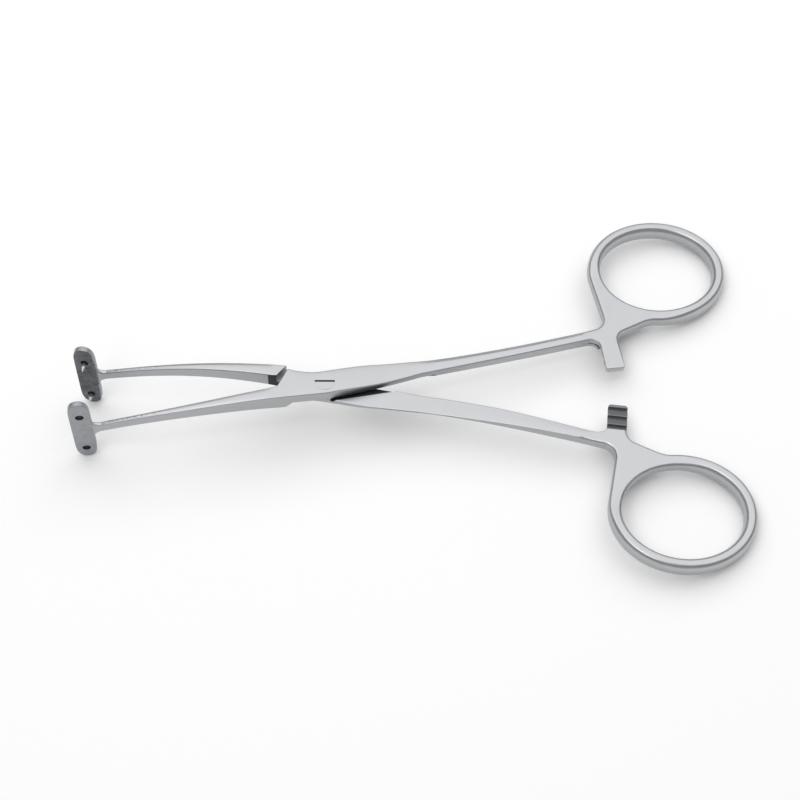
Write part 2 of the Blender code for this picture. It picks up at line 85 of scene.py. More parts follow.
def share(name, value, description):
    return FloatProperty(
        name=name, description=description, default=value, min=0, max=1, subtype="FACTOR"
    )


def number(name, value, description):
    return FloatProperty(name=name, description=description, default=value)


def count(name, value, description):
    return IntProperty(name=name, description=description, default=value, min=1)


def colour(name, value, description):
    return FloatVectorProperty(
        name=name, description=description, default=value, size=3, min=0, max=1, subtype="COLOR"
    )


class ForcepsBoxLock(bpy.types.PropertyGroup):
    """The box lock and its pin."""

    rest_opening: angle("Resting opening", 13.6, "Between the halves as they lie")
    box_thickness: length("Thickness", 4.6, "Box, from underside to top")
    box_half_width: length("Half width", 3.2, "Middle line to the edge beside the pin")
    waist_half_width: length("Waist", 2.9, "Middle line to the waist of the other edge")
    waist_offset: length("Waist offset", 2.0, "Pin to the waist, towards the jaws")
    box_front: length("Front", 10.9, "Pin to the point where the arms part")
    slot_rear: length("Recess rear", 25.0, "Pin to the rear end of the lap's recess")
    web_end: length("Rear web end", 27.0, "Pin to the end of the full height beside the recess")
    rear_lean: length("Rear lean", 3.0, "How far the recess's rear end leans back at the bottom")
    spread: length("Spread", 1.25, "Extra width of the lower half's inner edge behind the pin")
    spread_start: length("Spread start", 8.0, "Pin to where that width starts")
    spread_full: length("Spread full", 30.0, "Pin to where it is whole")
    spread_fade: length("Spread fade", 36.0, "Pin to where it starts to fade")
    box_rear: length("Rear", 22.0, "Pin to where the box has run out into the shank")
    rise_end: length("Rise end", 12.0, "Pin to where the outer edge stops widening")
    cheek_corner: length("Cheek corner", 8.2, "Pin to the outer front corner of the cheeks")
    cheek_half_width: length("Cheek half width", 4.5, "Middle line to that corner")
    crown: length("Crown", 0.12, "Rise of the flat faces from edge to middle")
    facet: length("Facet", 0.6, "Size of the facets on the flat faces")
    cheek_edge: length("Cheek edge", 0.12, "Rounding of the cheeks' front edges")
    taper_start: length("Taper start", 1.0, "Pin to where the box starts to thin")
    taper_end: length("Taper end", 16.0, "Pin to where it is as thin as the shank")
    lap_level: length("Lap level", -0.45, "Where the halves lie on each other, from mid height")
    lap_gap: length("Lap gap", 0.1, "Space between the halves there")
    blade_start: length("Blade start", 1.0, "Pin to where the inner half drops to its low rear")
    blade_round: length("Blade rounding", 0.3, "Rounding of the low rear's upper edges")
    relief_start: length("Relief start", 18.0, "Pin to where the inner half starts to rise")
    relief_end: length("Relief end", 58.0, "Pin to where it has its full height")
    shoulder_gap: length("Shoulder gap", 0.3, "Between box and inner half when closed")
    front_reach: length("Front reach", 7.6, "Pin to the full height in front of the recess")
    web_reach: length("Rear reach", 4.0, "Pin to the full height behind the recess")
    recess_lean: length("Recess lean", 2.2, "How far its front end leans forward at the bottom")
    cheek_clearance: length("Cheek clearance", 1.0, "Room in which the lower cheek swings")
    pocket_start: length("Pocket start", 1.6, "Pin to the start of the pocket in the inner half")
    pocket_end: length("Pocket end", 17.4, "Pin to the end of the pocket's edge")
    pocket_low: length("Pocket edge, start", -3.4, "Middle line to the pocket's edge at its start")
    pocket_high: length("Pocket edge, end", 1.45, "Middle line to the pocket's edge at its end")
    pocket_depth: length("Pocket depth", 0.6, "Below the face on which the halves lie")
    web_wall: length("Web wall", 0.45, "What the webs leave of the box's width")
    pin_diameter: length("Pin", 3.0, "Diameter of the pivot")
    head_diameter: length("Head", 4.5, "Diameter of its flush head")
    head_height: length("Head height", 1.1, "Height of its flush head")
    slot_width: length("Slot width", 0.45, "Width of the slot in the head")
    slot_depth: length("Slot depth", 0.45, "Depth of the slot in the head")
    pin_seat: length("Pin seat", 0.006, "Fine line round the pin, polished almost shut")
    running_clearance: length("Running clearance", 0.08, "Pin to the inner half's bore")
    pin_edge: length("Pin edge", 0.01, "Chamfer on the pivot's two faces")


class ForcepsArms(bpy.types.PropertyGroup):
    """The jaw arms, from the box to the plates."""

    arm_root_width: length("Root width", 3.1, "Width where the arms part")
    arm_tip_width: length("Tip width", 1.05, "Width at the plates")
    arm_tip_thickness: length("Tip thickness", 2.8, "Height at the plates")
    arm_parting: length("Parting", 0.12, "Middle line to the closed arm at its root")
    arm_tip_parting: length("Tip parting", 0.5, "Middle line to the closed arm at its end")
    arm_bow: length("Bow", 0.75, "Outward bow of each arm")
    arm_drop: length("Drop", 7.5, "How far the arms curve down to the plates")
    arm_edge: length("Edge", 0.32, "Rounding of the arms' edges")


class ForcepsShanks(bpy.types.PropertyGroup):
    """The shanks, from the box to the ratchets."""

    shank_root_width: length("Root width", 3.6, "Width at the box's rear")
    shank_width: length("Width", 2.6, "Width over most of the shank")
    shank_thickness: length("Thickness", 2.5, "Thickness at its thinnest")
    shank_end_thickness: length("End thickness", 3.0, "Thickness at the ratchet")
    shank_swell_start: length("Swell start", 20.0, "Pin to where it starts to thicken")
    shank_root_offset: length("Root offset", 2.08, "Middle line to the shank's middle")
    shank_splay: number("Splay", 0.075, "Sideways run for each unit of length")
    shank_bow: length("Bow", 1.44, "Outward bow over the shank's length")
    shank_run: length("Bow length", 40.0, "Length over which that bow is counted")
    shank_outer_round: length("Outer rounding", 0.8, "Rounding of the outer edges")
    shank_inner_round: length("Inner rounding", 0.35, "Rounding of the inner edges")


class ForcepsRings(bpy.types.PropertyGroup):
    """The finger rings and the webs that carry them."""

    ring_x: length("Place along", 81.1, "Pin to the ring's middle")
    ring_y: length("Place across", 22.9, "Middle line to the ring's middle")
    ring_long: length("Long half axis", 14.75, "Of the middle line of the bar")
    ring_short: length("Short half axis", 12.85, "Of the middle line of the bar")
    ring_turn: angle("Turn", -4.5, "Turn of the long axis")
    bar_width: length("Bar width", 2.95, "Width of the ring's bar")
    bar_height: length("Bar height", 4.2, "Height of the ring's bar")
    bar_flat: length("Bar flat", 0.75, "Flat on top of the bar")
    bar_side: share("Bar side", 0.92, "Share of the bar's height that is rounded")
    web_angle: angle("Web angle", 228.0, "Place on the ring that faces the web")
    web_half_span: angle("Web half span", 37.0, "To where the bar grows out of the web")
    web_runout: angle("Web runout", 35.0, "To where the bar has its full section")
    neck_angle: angle("Neck angle", 188.5, "Where the ring's edge leaves for the shank")
    web_end_angle: angle("Web end angle", 266.0, "Where it leaves for the ratchet")
    web_corner: length("Web corner", 6.0, "Middle line to the web's corner")
    web_slope: number("Web slope", 0.364, "Rise of the web's edge towards the ring")
    neck_fillet: length("Neck fillet", 3.2, "Between ring and shank")
    web_fillet: length("Web fillet", 2.7, "Between ratchet and web")
    join_fillet: length("Join fillet", 7.0, "Between web and ring")


class ForcepsRatchets(bpy.types.PropertyGroup):
    """The ratchet bars and their teeth."""

    ratchet_x: length("Place", 66.1, "Pin to the middle of the bars")
    ratchet_width: length("Width", 4.4, "Width of the bars")
    ratchet_reach: length("Reach", 3.4, "Past the middle line, when closed")
    ratchet_pitch: length("Pitch", 2.3, "From tooth to tooth")
    tooth_depth: length("Tooth depth", 0.6, "From crest to root")
    tooth_lean: length("Tooth lean", 0.15, "Lean of the locking face")
    tooth_root: length("Tooth root", 0.06, "Flat at the root")
    teeth: count("Teeth", 3, "Teeth on each bar")
    crest_share: share("Crest", 0.08, "Flat crest as a share of the pitch")
    ratchet_clearance: length("Clearance", 0.3, "Between the crests of the two bars")
    ratchet_edge: length("Edge", 0.2, "Rounding of the bars' edges")
    ratchet_corner: length("Corner", 0.7, "Rounding of the bars' corners in plan")
    ratchet_land: length("Land", 0.9, "Plain bar between teeth and shank")
    root_fillet: length("Root fillet", 2.2, "Between bar and shank")


class ForcepsPlates(bpy.types.PropertyGroup):
    """The jaw plates, their serrations and stubs, and the spikes."""

    plate_distance: length("Distance", 55.1, "Pin to the middle of a plate")
    plate_height: length("Height", 21.2, "Plate, from end to end")
    plate_width: length("Width", 4.8, "Plate, along the forceps")
    plate_thickness: length("Thickness", 1.4, "Plate, across the forceps")
    plate_fullness: number("Fullness", 8.0, "How square the ends are: 2 is an ellipse")
    plate_lift: length("Lift", 0.7, "Plate's middle above the arm's end")
    plate_edge: length("Edge", 0.25, "Rounding of the plate's edges")
    plate_gap: length("Closed gap", 0.2, "Between the closed plates")
    stub_length: length("Stub length", 1.9, "Stub between arm and plate")
    stub_flare: length("Stub flare", 1.7, "Growth of the stub towards the plate")
    stub_inset: length("Stub inset", 0.02, "How much slimmer the stub starts than the arm ends")
    stub_overlap: length("Stub overlap", 0.6, "How far the stub runs into the plate")
    serration_pitch: length("Serration pitch", 0.8, "From groove to groove")
    serration_depth: length("Serration depth", 0.2, "From crest to root")
    serration_root: length("Serration root", 0.06, "Flat at the root of a groove")
    serration_crest: share("Serration crest", 0.1, "Flat crest as a share of the pitch")
    serration_margin: length("Serration margin", 0.6, "Smooth land before the holes")
    spike_diameter: length("Spike", 0.9, "Diameter of a spike")
    spike_spacing: length("Spike spacing", 12.8, "From spike to spike")
    spike_drop: length("Spike drop", 0.7, "Pair's middle below the plate's middle")
    spike_reach: length("Spike reach", 2.4, "How far a spike stands out")
    spike_point: length("Spike point", 1.5, "Length of its tapered end")
    spike_tip: length("Spike tip", 0.12, "Width of its blunt tip")
    spike_hole: length("Spike hole", 1.7, "Diameter of the holes and recesses")
    spike_recess: length("Spike recess", 0.5, "Depth of the recess round a spike")
    hole_edge: length("Hole edge", 0.12, "Chamfer at the holes' mouths")


class ForcepsFinish(bpy.types.PropertyGroup):
    """Colours and surface of the steel."""

    satin_colour: colour("Satin steel", (0.43, 0.438, 0.45), "Forged halves")
    satin_roughness: share("Satin roughness", 0.36, "Of the forged halves")
    # Unpolished steel, darkened further as painted shade on the ratchet teeth and the faces cut for the other
    # bar.
    unpolished_shade_colour: colour("Unpolished steel", (0.21, 0.215, 0.222), "On the ratchets' teeth")
    forged_roughness: share("Unpolished roughness", 0.5, "On the teeth and in the lock")
    # Painted shade: near-black steel on the lock's recess, pocket and web spaces, the plates' holes and spike
    # recesses and the pin's slot, standing in for the shade that falls in them.
    painted_shade_colour: colour("Blackened steel", (0.05, 0.051, 0.054), "In the lock and the holes")
    # Blasted steel, darker than the plates' backs as painted shade on the grasping faces.
    blasted_colour: colour("Blasted steel", (0.15, 0.155, 0.165), "Grasping faces of the plates")
    plate_colour: colour("Plate steel", (0.35, 0.362, 0.375), "Backs of the jaw plates")
    plate_roughness: share("Plate roughness", 0.5, "Of the jaw plates")
    blasted_contrast: share("Blasted contrast", 0.42, "Light and dark blotches of the grasping faces")
    plate_contrast: share("Plate contrast", 0.16, "Light and dark blotches of the plates' backs")
    spike_colour: colour("Bright steel", (0.5, 0.51, 0.52), "Spikes")
    spike_roughness: share("Bright roughness", 0.24, "Of the spikes")
    grain_length: length("Grain length", 1.6, "Length of the satin's fine scratches")
    grain_width: length("Grain width", 0.05, "Width of the satin's fine scratches")
    grain_depth: length("Grain depth", 0.004, "Depth of the satin's fine scratches")
    blast_size: length("Blast size", 0.12, "Size of the dimples on the plates")
    blast_depth: length("Blast depth", 0.02, "Depth of the dimples on the plates")


class ForcepsStage(bpy.types.PropertyGroup):
    """Floor, lights and camera."""

    floor_colour: colour("Floor", (0.97, 0.97, 0.972), "Pale floor")
    floor_reach: length("Floor reach", 900.0, "From the middle to the floor's edge")
    rest_slope: angle("Floor slope", 5.9, "Floor against the box's underside")
    rest_height: length("Rest height", -9.6, "Floor below the origin")
    key_power: number("Key light", 4.4, "Watts of the overhead softbox")
    fill_power: number("Fill light", 1.2, "Watts of the front softbox")
    room_light: number("Room light", 0.38, "Strength of the room's even light")
    lens: number("Lens", 76.5, "Focal length in mm on a 36 mm sensor")
    camera_place: FloatVectorProperty(
        name="Camera place",
        description="Where the camera stands",
        default=(0.0065, -0.2084, 0.3243),
        subtype="TRANSLATION",
        unit="LENGTH",
        precision=5,
    )
    camera_aim: FloatVectorProperty(
        name="Camera aim",
        description="What the middle of the picture looks at",
        default=(0.0169, -0.0035, 0.0023),
        subtype="TRANSLATION",
        unit="LENGTH",
        precision=5,
    )
    camera_roll: angle("Camera roll", 2.76, "Turn about the line of sight")


GROUPS = {
    "forceps_box_lock": ForcepsBoxLock,
    "forceps_arms": ForcepsArms,
    "forceps_shanks": ForcepsShanks,
    "forceps_rings": ForcepsRings,
    "forceps_ratchets": ForcepsRatchets,
    "forceps_plates": ForcepsPlates,
    "forceps_finish": ForcepsFinish,
    "forceps_stage": ForcepsStage,
}
OUTLINE_STEPS = 4.0  # points on an outline for each one that the plain solid has
ARC_STEPS = 8  # bands over a rounded edge
SOFT_ANGLE = math.radians(32)
MOST_SHORT = 2.0  # how far a piece may stay short of the plain solid's ends


def all_sizes():
    """Every size and colour, with lengths in millimetres and angles in degrees."""
    values = {}
    for pointer in GROUPS:
        group = getattr(bpy.context.scene, pointer)
        for entry in group.bl_rna.properties:
            if entry.identifier in ("rna_type", "name"):
                continue
            value = getattr(group, entry.identifier)
            if entry.type == "FLOAT" and entry.array_length:
                value = tuple(value)
            elif entry.type == "FLOAT" and entry.unit == "LENGTH":
                value = value / MM
            elif entry.type == "FLOAT" and entry.unit == "ROTATION":
                value = math.degrees(value)
            values[entry.identifier] = value
    s = SimpleNamespace(**values)
    s.arm_end = s.plate_distance - s.plate_width / 2 - s.stub_length
    s.ratchet_left = s.ratchet_x - s.ratchet_width / 2
    s.ratchet_right = s.ratchet_x + s.ratchet_width / 2
    s.shank_end = s.ratchet_left - s.root_fillet - 1.0
    s.plate_inner = s.plate_gap / 2
    s.plate_outer = s.plate_inner + s.plate_thickness
    s.plate_level = s.plate_lift - arm_drop(s, -s.plate_distance)
    s.spike_level = s.plate_level - s.spike_drop
    s.aside = 2.5 * s.cheek_half_width
    s.above = 2 * s.box_thickness
    return s


def blend(start, end, part):
    return start + (end - start) * part


def smooth(part):
    """An S-curve from 0 to 1 that starts and ends level."""
    part = min(max(part, 0.0), 1.0)
    return part * part * (3 - 2 * part)


# Edges of one half in plan, closed


def arm_part(s, x):
    """0 at the arm's root, 1 at its end."""
    return min(max((-x - s.box_front) / (s.arm_end - s.box_front), 0.0), 1.0)


def arm_inner(s, x):
    part = arm_part(s, x)
    bow = s.arm_bow * math.sin(math.pi * part)
    return -(blend(s.arm_parting, s.arm_tip_parting, part) + bow)


def arm_outer(s, x):
    width = blend(s.arm_tip_width, s.arm_root_width, (1 - arm_part(s, x)) ** 1.8)
    return arm_inner(s, x) - width


def arm_drop(s, x):
    """The jaw arms curve down, gently at the box and more towards the plates."""
    reach = max(-x - s.box_front, 0.0) / (s.plate_distance - s.box_front)
    return s.arm_drop * min(reach, 1.0) ** 1.75


def shank_middle(s, x):
    run = x - s.box_rear
    return s.shank_root_offset + s.shank_splay * run + s.shank_bow * (run / s.shank_run) ** 2


def shank_width(s, x):
    part = min(max((x - s.box_rear) / (s.shank_end - s.box_rear), 0.0), 1.0)
    return blend(s.shank_width, s.shank_root_width, (1 - part) ** 3)


def shank_outer(s, x):
    return shank_middle(s, x) + shank_width(s, x) / 2


def shank_inner(s, x):
    return shank_middle(s, x) - shank_width(s, x) / 2


def box_outer(s, x):
    """The cheeks' outer edge, waisted near the pin and still rising where the shank takes over."""
    past = x + s.waist_offset
    if past < 0:
        part = (-past / (s.cheek_corner - s.waist_offset)) ** 1.5
        return blend(s.waist_half_width, s.cheek_half_width, part)
    part = smooth(past / (s.rise_end + s.waist_offset))
    return blend(s.waist_half_width, shank_outer(s, s.box_rear), part)


def box_inner(s, x):
    """The box's other edge: full width to the pin, then a long taper into the shank."""
    if x < 0:
        end = arm_outer(s, -s.box_front)
        return blend(-s.box_half_width, end, smooth(-x / s.box_front))
    part = x / s.box_rear
    return blend(-s.box_half_width, shank_inner(s, s.box_rear), blend(0.65, 1, part) * part)


def half_inner(s, x):
    """The inner edge of the box and the shank behind it."""
    return box_inner(s, x) if x < s.box_rear else shank_inner(s, x)


def blade_inner(s, x):
    """The same edge of the lower half, which is wider behind the pin."""
    rise = smooth((x - s.spread_start) / (s.spread_full - s.spread_start))
    fade = smooth((x - s.spread_fade) / (s.shank_end - s.spread_fade))
    return half_inner(s, x) - s.spread * rise * (1 - fade)


def half_thickness(s, x):
    if x < -s.box_front:
        thick = blend(s.arm_tip_thickness, s.box_thickness, (1 - arm_part(s, x)) ** 1.6)
    elif x < s.taper_end:
        part = smooth((x - s.taper_start) / (s.taper_end - s.taper_start))
        thick = blend(s.box_thickness, s.shank_thickness, part)
    else:
        part = smooth((x - s.shank_swell_start) / (s.shank_end - s.shank_swell_start))
        thick = blend(s.shank_thickness, s.shank_end_thickness, part)
    return thick / 2


# Outline of one half


def along(s, edge, start, end, steps, rounding):
    """Points on an edge given as a function of x: place, half thickness, rounding in and down."""
    return [
        (x, edge(s, x), half_thickness(s, x) - s.crown, rounding, rounding)
        for x in np.linspace(start, end, steps)
    ]


def crossing(point, direction, other, other_direction):
    """Where two lines in plan meet."""
    across = Vector((other_direction[1], -other_direction[0]))
    reach = (Vector(other) - Vector(point)).dot(across) / Vector(direction).dot(across)
    return Vector(point) + Vector(direction) * reach


def fillet(s, before, corner, after, radius, steps, rounding):
    """Points of the arc that rounds a corner between two straight lines."""
    corner = Vector(corner)
    towards, away = (Vector(before) - corner).normalized(), (Vector(after) - corner).normalized()
    bend = towards.angle(away)
    centre = corner + (towards + away).normalized() * radius / math.sin(bend / 2)
    first = corner + towards * radius / math.tan(bend / 2) - centre
    last = corner + away * radius / math.tan(bend / 2) - centre
    turn = math.atan2(first.x * last.y - first.y * last.x, first.dot(last))
    level = s.shank_end_thickness / 2
    points = []
    for step in range(steps + 1):
        part = turn * step / steps
        x = centre.x + first.x * math.cos(part) - first.y * math.sin(part)
        y = centre.y + first.x * math.sin(part) + first.y * math.cos(part)
        points.append((x, y, level, rounding, rounding))
    return points


def ring_point(s, degrees, offset):
    """A point beside the middle line of the ring's bar, on the outward side where offset > 0."""
    place, turn = math.radians(degrees), math.radians(s.ring_turn)
    x, y = s.ring_long * math.cos(place), s.ring_short * math.sin(place)
    normal = Vector((math.cos(place) / s.ring_long, math.sin(place) / s.ring_short)).normalized()
    x, y = x + normal.x * offset, y + normal.y * offset
    across = x * math.cos(turn) - y * math.sin(turn)
    return Vector((s.ring_x + across, s.ring_y + x * math.sin(turn) + y * math.cos(turn)))


def ring_direction(s, degrees):
    """The direction of the ring's edge there."""
    return ring_point(s, degrees + 1, 0) - ring_point(s, degrees - 1, 0)


def ring_edge(s, start, end, steps, offset):
    """Points along one edge of the ring's bar, which is lower where it meets the web."""
    points = []
    for degrees in np.linspace(start, end, steps):
        away = abs((degrees - s.web_angle + 180) % 360 - 180)
        part = smooth((away - s.web_half_span) / s.web_runout)
        height = blend(s.shank_end_thickness, s.bar_height, part) / 2
        inset = blend(s.shank_outer_round, (s.bar_width - s.bar_flat) / 2, part)
        depth = blend(s.shank_outer_round, s.bar_side * s.bar_height / 2, part)
        points.append((*ring_point(s, degrees, offset), height, inset, depth))
    return points


def half_outline(s, inner_edge):
    """One half seen from above, closed: the outer loop, counter-clockwise, and the ring's hole."""

    def many(plain):
        return round(plain * OUTLINE_STEPS)

    side = s.bar_width / 2
    shank_top = (s.shank_end, shank_outer(s, s.shank_end))
    shank_run = (1, shank_outer(s, s.shank_end + 1) - shank_outer(s, s.shank_end))
    ring_in, ring_out = ring_point(s, s.neck_angle, side), ring_point(s, s.web_end_angle, side)
    neck = crossing(ring_in, ring_direction(s, s.neck_angle), shank_top, shank_run)
    web = (s.ratchet_right, s.web_corner)
    join = crossing(ring_out, ring_direction(s, s.web_end_angle), web, (1, s.web_slope))
    root = (s.ratchet_left, shank_inner(s, s.ratchet_left))
    tip_left = (s.ratchet_left, -s.ratchet_reach)
    tip_right = (s.ratchet_right, -s.ratchet_reach)
    inner, outer, edge = s.shank_inner_round, s.shank_outer_round, s.ratchet_edge
    front, rear, end = -s.box_front, s.box_rear, s.shank_end
    box_round, level = 0.6 * outer, s.box_thickness / 2

    loop = along(s, arm_outer, -s.arm_end, front - 0.5, many(12), s.arm_edge)
    loop += along(s, inner_edge, front + 1.5, rear, many(14), inner)
    loop += along(s, inner_edge, rear + 1, end, many(12), inner)
    loop += fillet(s, loop[-1][:2], root, tip_left, s.root_fillet, many(6), edge)
    loop += fillet(s, root, tip_left, tip_right, s.ratchet_corner, many(3), edge)
    loop += fillet(s, tip_left, tip_right, web, s.ratchet_corner, many(3), edge)
    loop += fillet(s, tip_right, web, join, s.web_fillet, many(6), outer)
    loop += fillet(s, web, join, ring_out, s.join_fillet, many(4), outer)
    loop += ring_edge(s, s.web_end_angle - 360, s.neck_angle, many(44), side)
    loop += fillet(s, ring_in, neck, shank_top, s.neck_fillet, many(6), outer)
    loop += along(s, shank_outer, end, rear + 1, many(12), outer)
    loop += along(s, box_outer, rear, -s.cheek_corner + 0.3, many(14), box_round)
    corner = (-s.cheek_corner, s.cheek_half_width - 0.4)
    parting = (front + 0.2, arm_inner(s, front) + 0.25)
    loop += [(*place, level, s.cheek_edge, s.cheek_edge) for place in (corner, parting)]
    loop += along(s, arm_inner, front - 0.8, -s.arm_end, many(12), s.arm_edge)
    hole = ring_edge(s, 360, 360 / many(40), many(40), -side)
    return even_rounding(loop), hole


def inside_points(s):
    """Places on the flat faces of one half: they keep its facets small and give it its crown."""
    spots = []
    for x in np.arange(-s.arm_end + s.facet, s.shank_end, s.facet):
        if x < -s.box_front - 1.2:
            low, high, rounding = arm_outer(s, x), arm_inner(s, x), s.arm_edge
        elif -s.cheek_corner + 0.8 < x < s.box_rear:
            low, high, rounding = box_inner(s, x), box_outer(s, x), s.shank_outer_round
        elif x >= s.box_rear:
            low, high, rounding = shank_inner(s, x), shank_outer(s, x), s.shank_outer_round
        else:
            continue
        margin = rounding + s.facet / 3
        room = high - low - 2 * margin
        if room <= 0:
            continue
        for y in np.linspace(low + margin, high - margin, 2 + int(room / s.facet)):
            aside = (y - (low + high) / 2) / ((high - low) / 2)
            spots.append((x, y, half_thickness(s, x) - s.crown * aside**2))
    return spots


def blade_top(s, x, height):
    """Top of the inner half: low where the box half passes over it, then rising to full height."""
    if not s.blade_start <= x < s.relief_end:
        return height
    part = smooth((x - s.relief_start) / (s.relief_end - s.relief_start))
    return min(height, blend(s.lap_level - s.lap_gap / 2, height, part))


def even_rounding(loop, reach=6):
    """The loop with its thickness and rounding eased from one edge into the next."""
    data = np.array(loop)
    kept = slice(None), slice(2, None)
    for _ in range(reach):
        before, after = np.roll(data, 1, axis=0), np.roll(data, -1, axis=0)
        gap_before = np.linalg.norm(data[:, :2] - before[:, :2], axis=1)[:, None]
        gap_after = np.linalg.norm(data[:, :2] - after[:, :2], axis=1)[:, None]
        near = 0.25 * (gap_before < 2) * before[kept] + 0.25 * (gap_after < 2) * after[kept]
        own = 1 - 0.25 * (gap_before < 2) - 0.25 * (gap_after < 2)
        data[kept] = own * data[kept] + near
    return [tuple(row) for row in data]


# Bodies


def new_body():
    """An empty body, with a mark on each vertex for the strength of the painted highlight there, highest halfway
    round a rounded edge.
    """
    body = bmesh.new()
    body.verts.layers.float.new("rubbed")
    return body


def strip(body, lower, upper):
    """A band of faces between two closed rows of vertices."""
    for i in range(len(lower)):
        j = (i + 1) % len(lower)
        body.faces.new((lower[i], lower[j], upper[j], upper[i]))


def lofted(rows):
    """A closed body through rows of points, each row a closed loop, with flat ends."""
    body = new_body()
    rings = [[body.verts.new([value * MM for value in point]) for point in row] for row in rows]
    for lower, upper in zip(rings, rings[1:]):
        strip(body, lower, upper)
    body.faces.new(rings[0])
    body.faces.new(rings[-1])
    bmesh.ops.recalc_face_normals(body, faces=body.faces)
    return body


def prism(corners, low, high):
    """A straight prism over a plan polygon."""
    return lofted([[(x, y, z) for x, y in corners] for z in (low, high)])


def turned(profile, place, segments=48):
    """A turned body about a line parallel to Y through a place in X and Z."""
    rows = []
    for radius, y in profile:
        angles = [2 * math.pi * i / segments for i in range(segments)]
        row = [(place[0] + radius * math.cos(a), y, place[1] + radius * math.sin(a)) for a in angles]
        rows.append(row)
    return lofted(rows)


def upright(profile, segments=64):
    """A turned body about the pin's axis, from radii and levels."""
    rows = []
    for radius, z in profile:
        angles = [2 * math.pi * i / segments for i in range(segments)]
        rows.append([(radius * math.cos(a), radius * math.sin(a), z) for a in angles])
    return lofted(rows)


def inward_normals(points):
    """Normals to the left of a loop of plan points, lengthened at corners to keep the inset even."""
    before, after = np.roll(points, 1, axis=0), np.roll(points, -1, axis=0)
    first = (points - before) / np.linalg.norm(points - before, axis=1, keepdims=True)
    second = (after - points) / np.linalg.norm(after - points, axis=1, keepdims=True)
    run = first + second
    run /= np.linalg.norm(run, axis=1, keepdims=True)
    mitre = np.clip((run * first).sum(axis=1), 0.5, 1)
    return np.stack([-run[:, 1], run[:, 0]], axis=1) / mitre[:, None]


def rounded_body(s, loops, mirror, low_rear=False):
    """A body with the plan of the loops, each point with its own half thickness and rounding."""

    def top_of(x, height):
        return blade_top(s, x, height) if low_rear else height

    body = new_body()
    rubbed = body.verts.layers.float["rubbed"]
    angles = [math.radians(90 * step / ARC_STEPS) for step in range(ARC_STEPS + 1)]
    profile = [(-1, a) for a in reversed(angles)] + [(1, a) for a in angles]
    ends = []
    for loop in loops:
        data = np.array(loop)
        plan, height, inset, depth = data[:, :2], data[:, 2], data[:, 3], data[:, 4]
        normals = inward_normals(plan)
        top = np.array([top_of(x, z) for x, z in zip(plan[:, 0], height)])
        cut_down = top < height
        rows = []
        for side, turn in profile:
            reach = np.where(cut_down & (side > 0), s.blade_round, inset)
            drop = np.where(cut_down & (side > 0), s.blade_round, depth)
            place = plan + normals * (reach * (1 - math.cos(turn)))[:, None]
            level = side * ((top if side > 0 else height) - drop + drop * math.sin(turn))
            points = [(x, mirror * y, z - arm_drop(s, x)) for (x, y), z in zip(place, level)]
            row = [body.verts.new([value * MM for value in point]) for point in points]
            for vertex in row:
                # Strength of the painted highlight: highest halfway round the rounded edge.
                vertex[rubbed] = math.sin(2 * turn) ** 2
            rows.append(row)
        for lower, upper in zip(rows, rows[1:]):
            strip(body, lower, upper)
        ends.append((rows[0], rows[-1]))
    for side, rings in zip((-1, 1), zip(*ends)):
        spots = []
        for x, y, z in inside_points(s):
            level = top_of(x, z) if side > 0 else -z
            spots.append((x * MM, mirror * y * MM, (level - arm_drop(s, x)) * MM))
        fill(body, rings, spots)
    bmesh.ops.recalc_face_normals(body, faces=body.faces)
    return body


def fill(body, rings, spots):
    """Triangles inside the outer ring of vertices, round the hole that follows it, and on spots."""
    corners = [vertex for ring in rings for vertex in ring]
    corners += [body.verts.new(spot) for spot in spots]
    flat = [Vector((vertex.co.x / MM, vertex.co.y / MM)) for vertex in corners]
    edges = []
    for ring in rings:
        first = len(edges)
        edges += [(first + i, first + (i + 1) % len(ring)) for i in range(len(ring))]
    faces = delaunay_2d_cdt(flat, edges, [], 1, 1e-6)[2]
    for face in faces:
        hole = range(len(rings[0]), len(edges))
        if not all(i in hole for i in face):
            body.faces.new([corners[i] for i in face])


def helper(name, body):
    """A hidden object that shapes a piece and is deleted once the piece is made."""
    mesh = bpy.data.meshes.new(name)
    body.to_mesh(mesh)
    body.free()
    obj = bpy.data.objects.new(name, mesh)
    bpy.context.scene.collection.objects.link(obj)
    obj.hide_render = True
    return obj


def boolean(obj, name, body, operation="DIFFERENCE", finish=None):
    """Takes a body away from a piece in the making, or adds it. The cut may have its own finish."""
    modifier = obj.modifiers.new(name, "BOOLEAN")
    modifier.object = helper(name, body)
    if finish:
        modifier.object.data.materials.append(finish)
        modifier.material_mode = "TRANSFER"
    modifier.operation = operation
    modifier.solver = "EXACT"


def finished(obj, name, node, turn=0.0):
    """The piece itself: its modifiers are made real, and it is swung to its place at rest."""
    even = obj.modifiers.new("even_shading", "WEIGHTED_NORMAL")
    even.keep_sharp = True
    graph = bpy.context.evaluated_depsgraph_get()
    mesh = bpy.data.meshes.new_from_object(obj.evaluated_get(graph), depsgraph=graph)
    helpers = [modifier.object for modifier in obj.modifiers if modifier.type == "BOOLEAN"]
    for other in (*helpers, obj):
        bpy.data.objects.remove(other)
    s = all_sizes()
    rise = Matrix.Translation((0, 0, s.box_thickness / 2 * MM))
    mesh.transform(rise @ Matrix.Rotation(turn, 4, "Z"))
    reach = [vertex.co.x for vertex in mesh.vertices] or [0.0]
    low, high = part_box(node)
    if min(reach) > low[0] + MOST_SHORT * MM or max(reach) < high[0] - MOST_SHORT * MM:
        raise RuntimeError(f"{name}: its cuts took away too much")
    mesh.name = name
    piece = bpy.data.objects.new(name, mesh)
    bpy.context.scene.collection.objects.link(piece)
    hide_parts(node)
    return piece


def in_the_making(name, body, finish):
    """An object for a body that still has cuts to come."""
    obj = helper(name, body)
    obj.data.materials.append(finish)
    obj.data.shade_smooth()
    obj.data.set_sharp_from_angle(angle=SOFT_ANGLE)
    return obj


# Rows of like cuts, made with Geometry Nodes


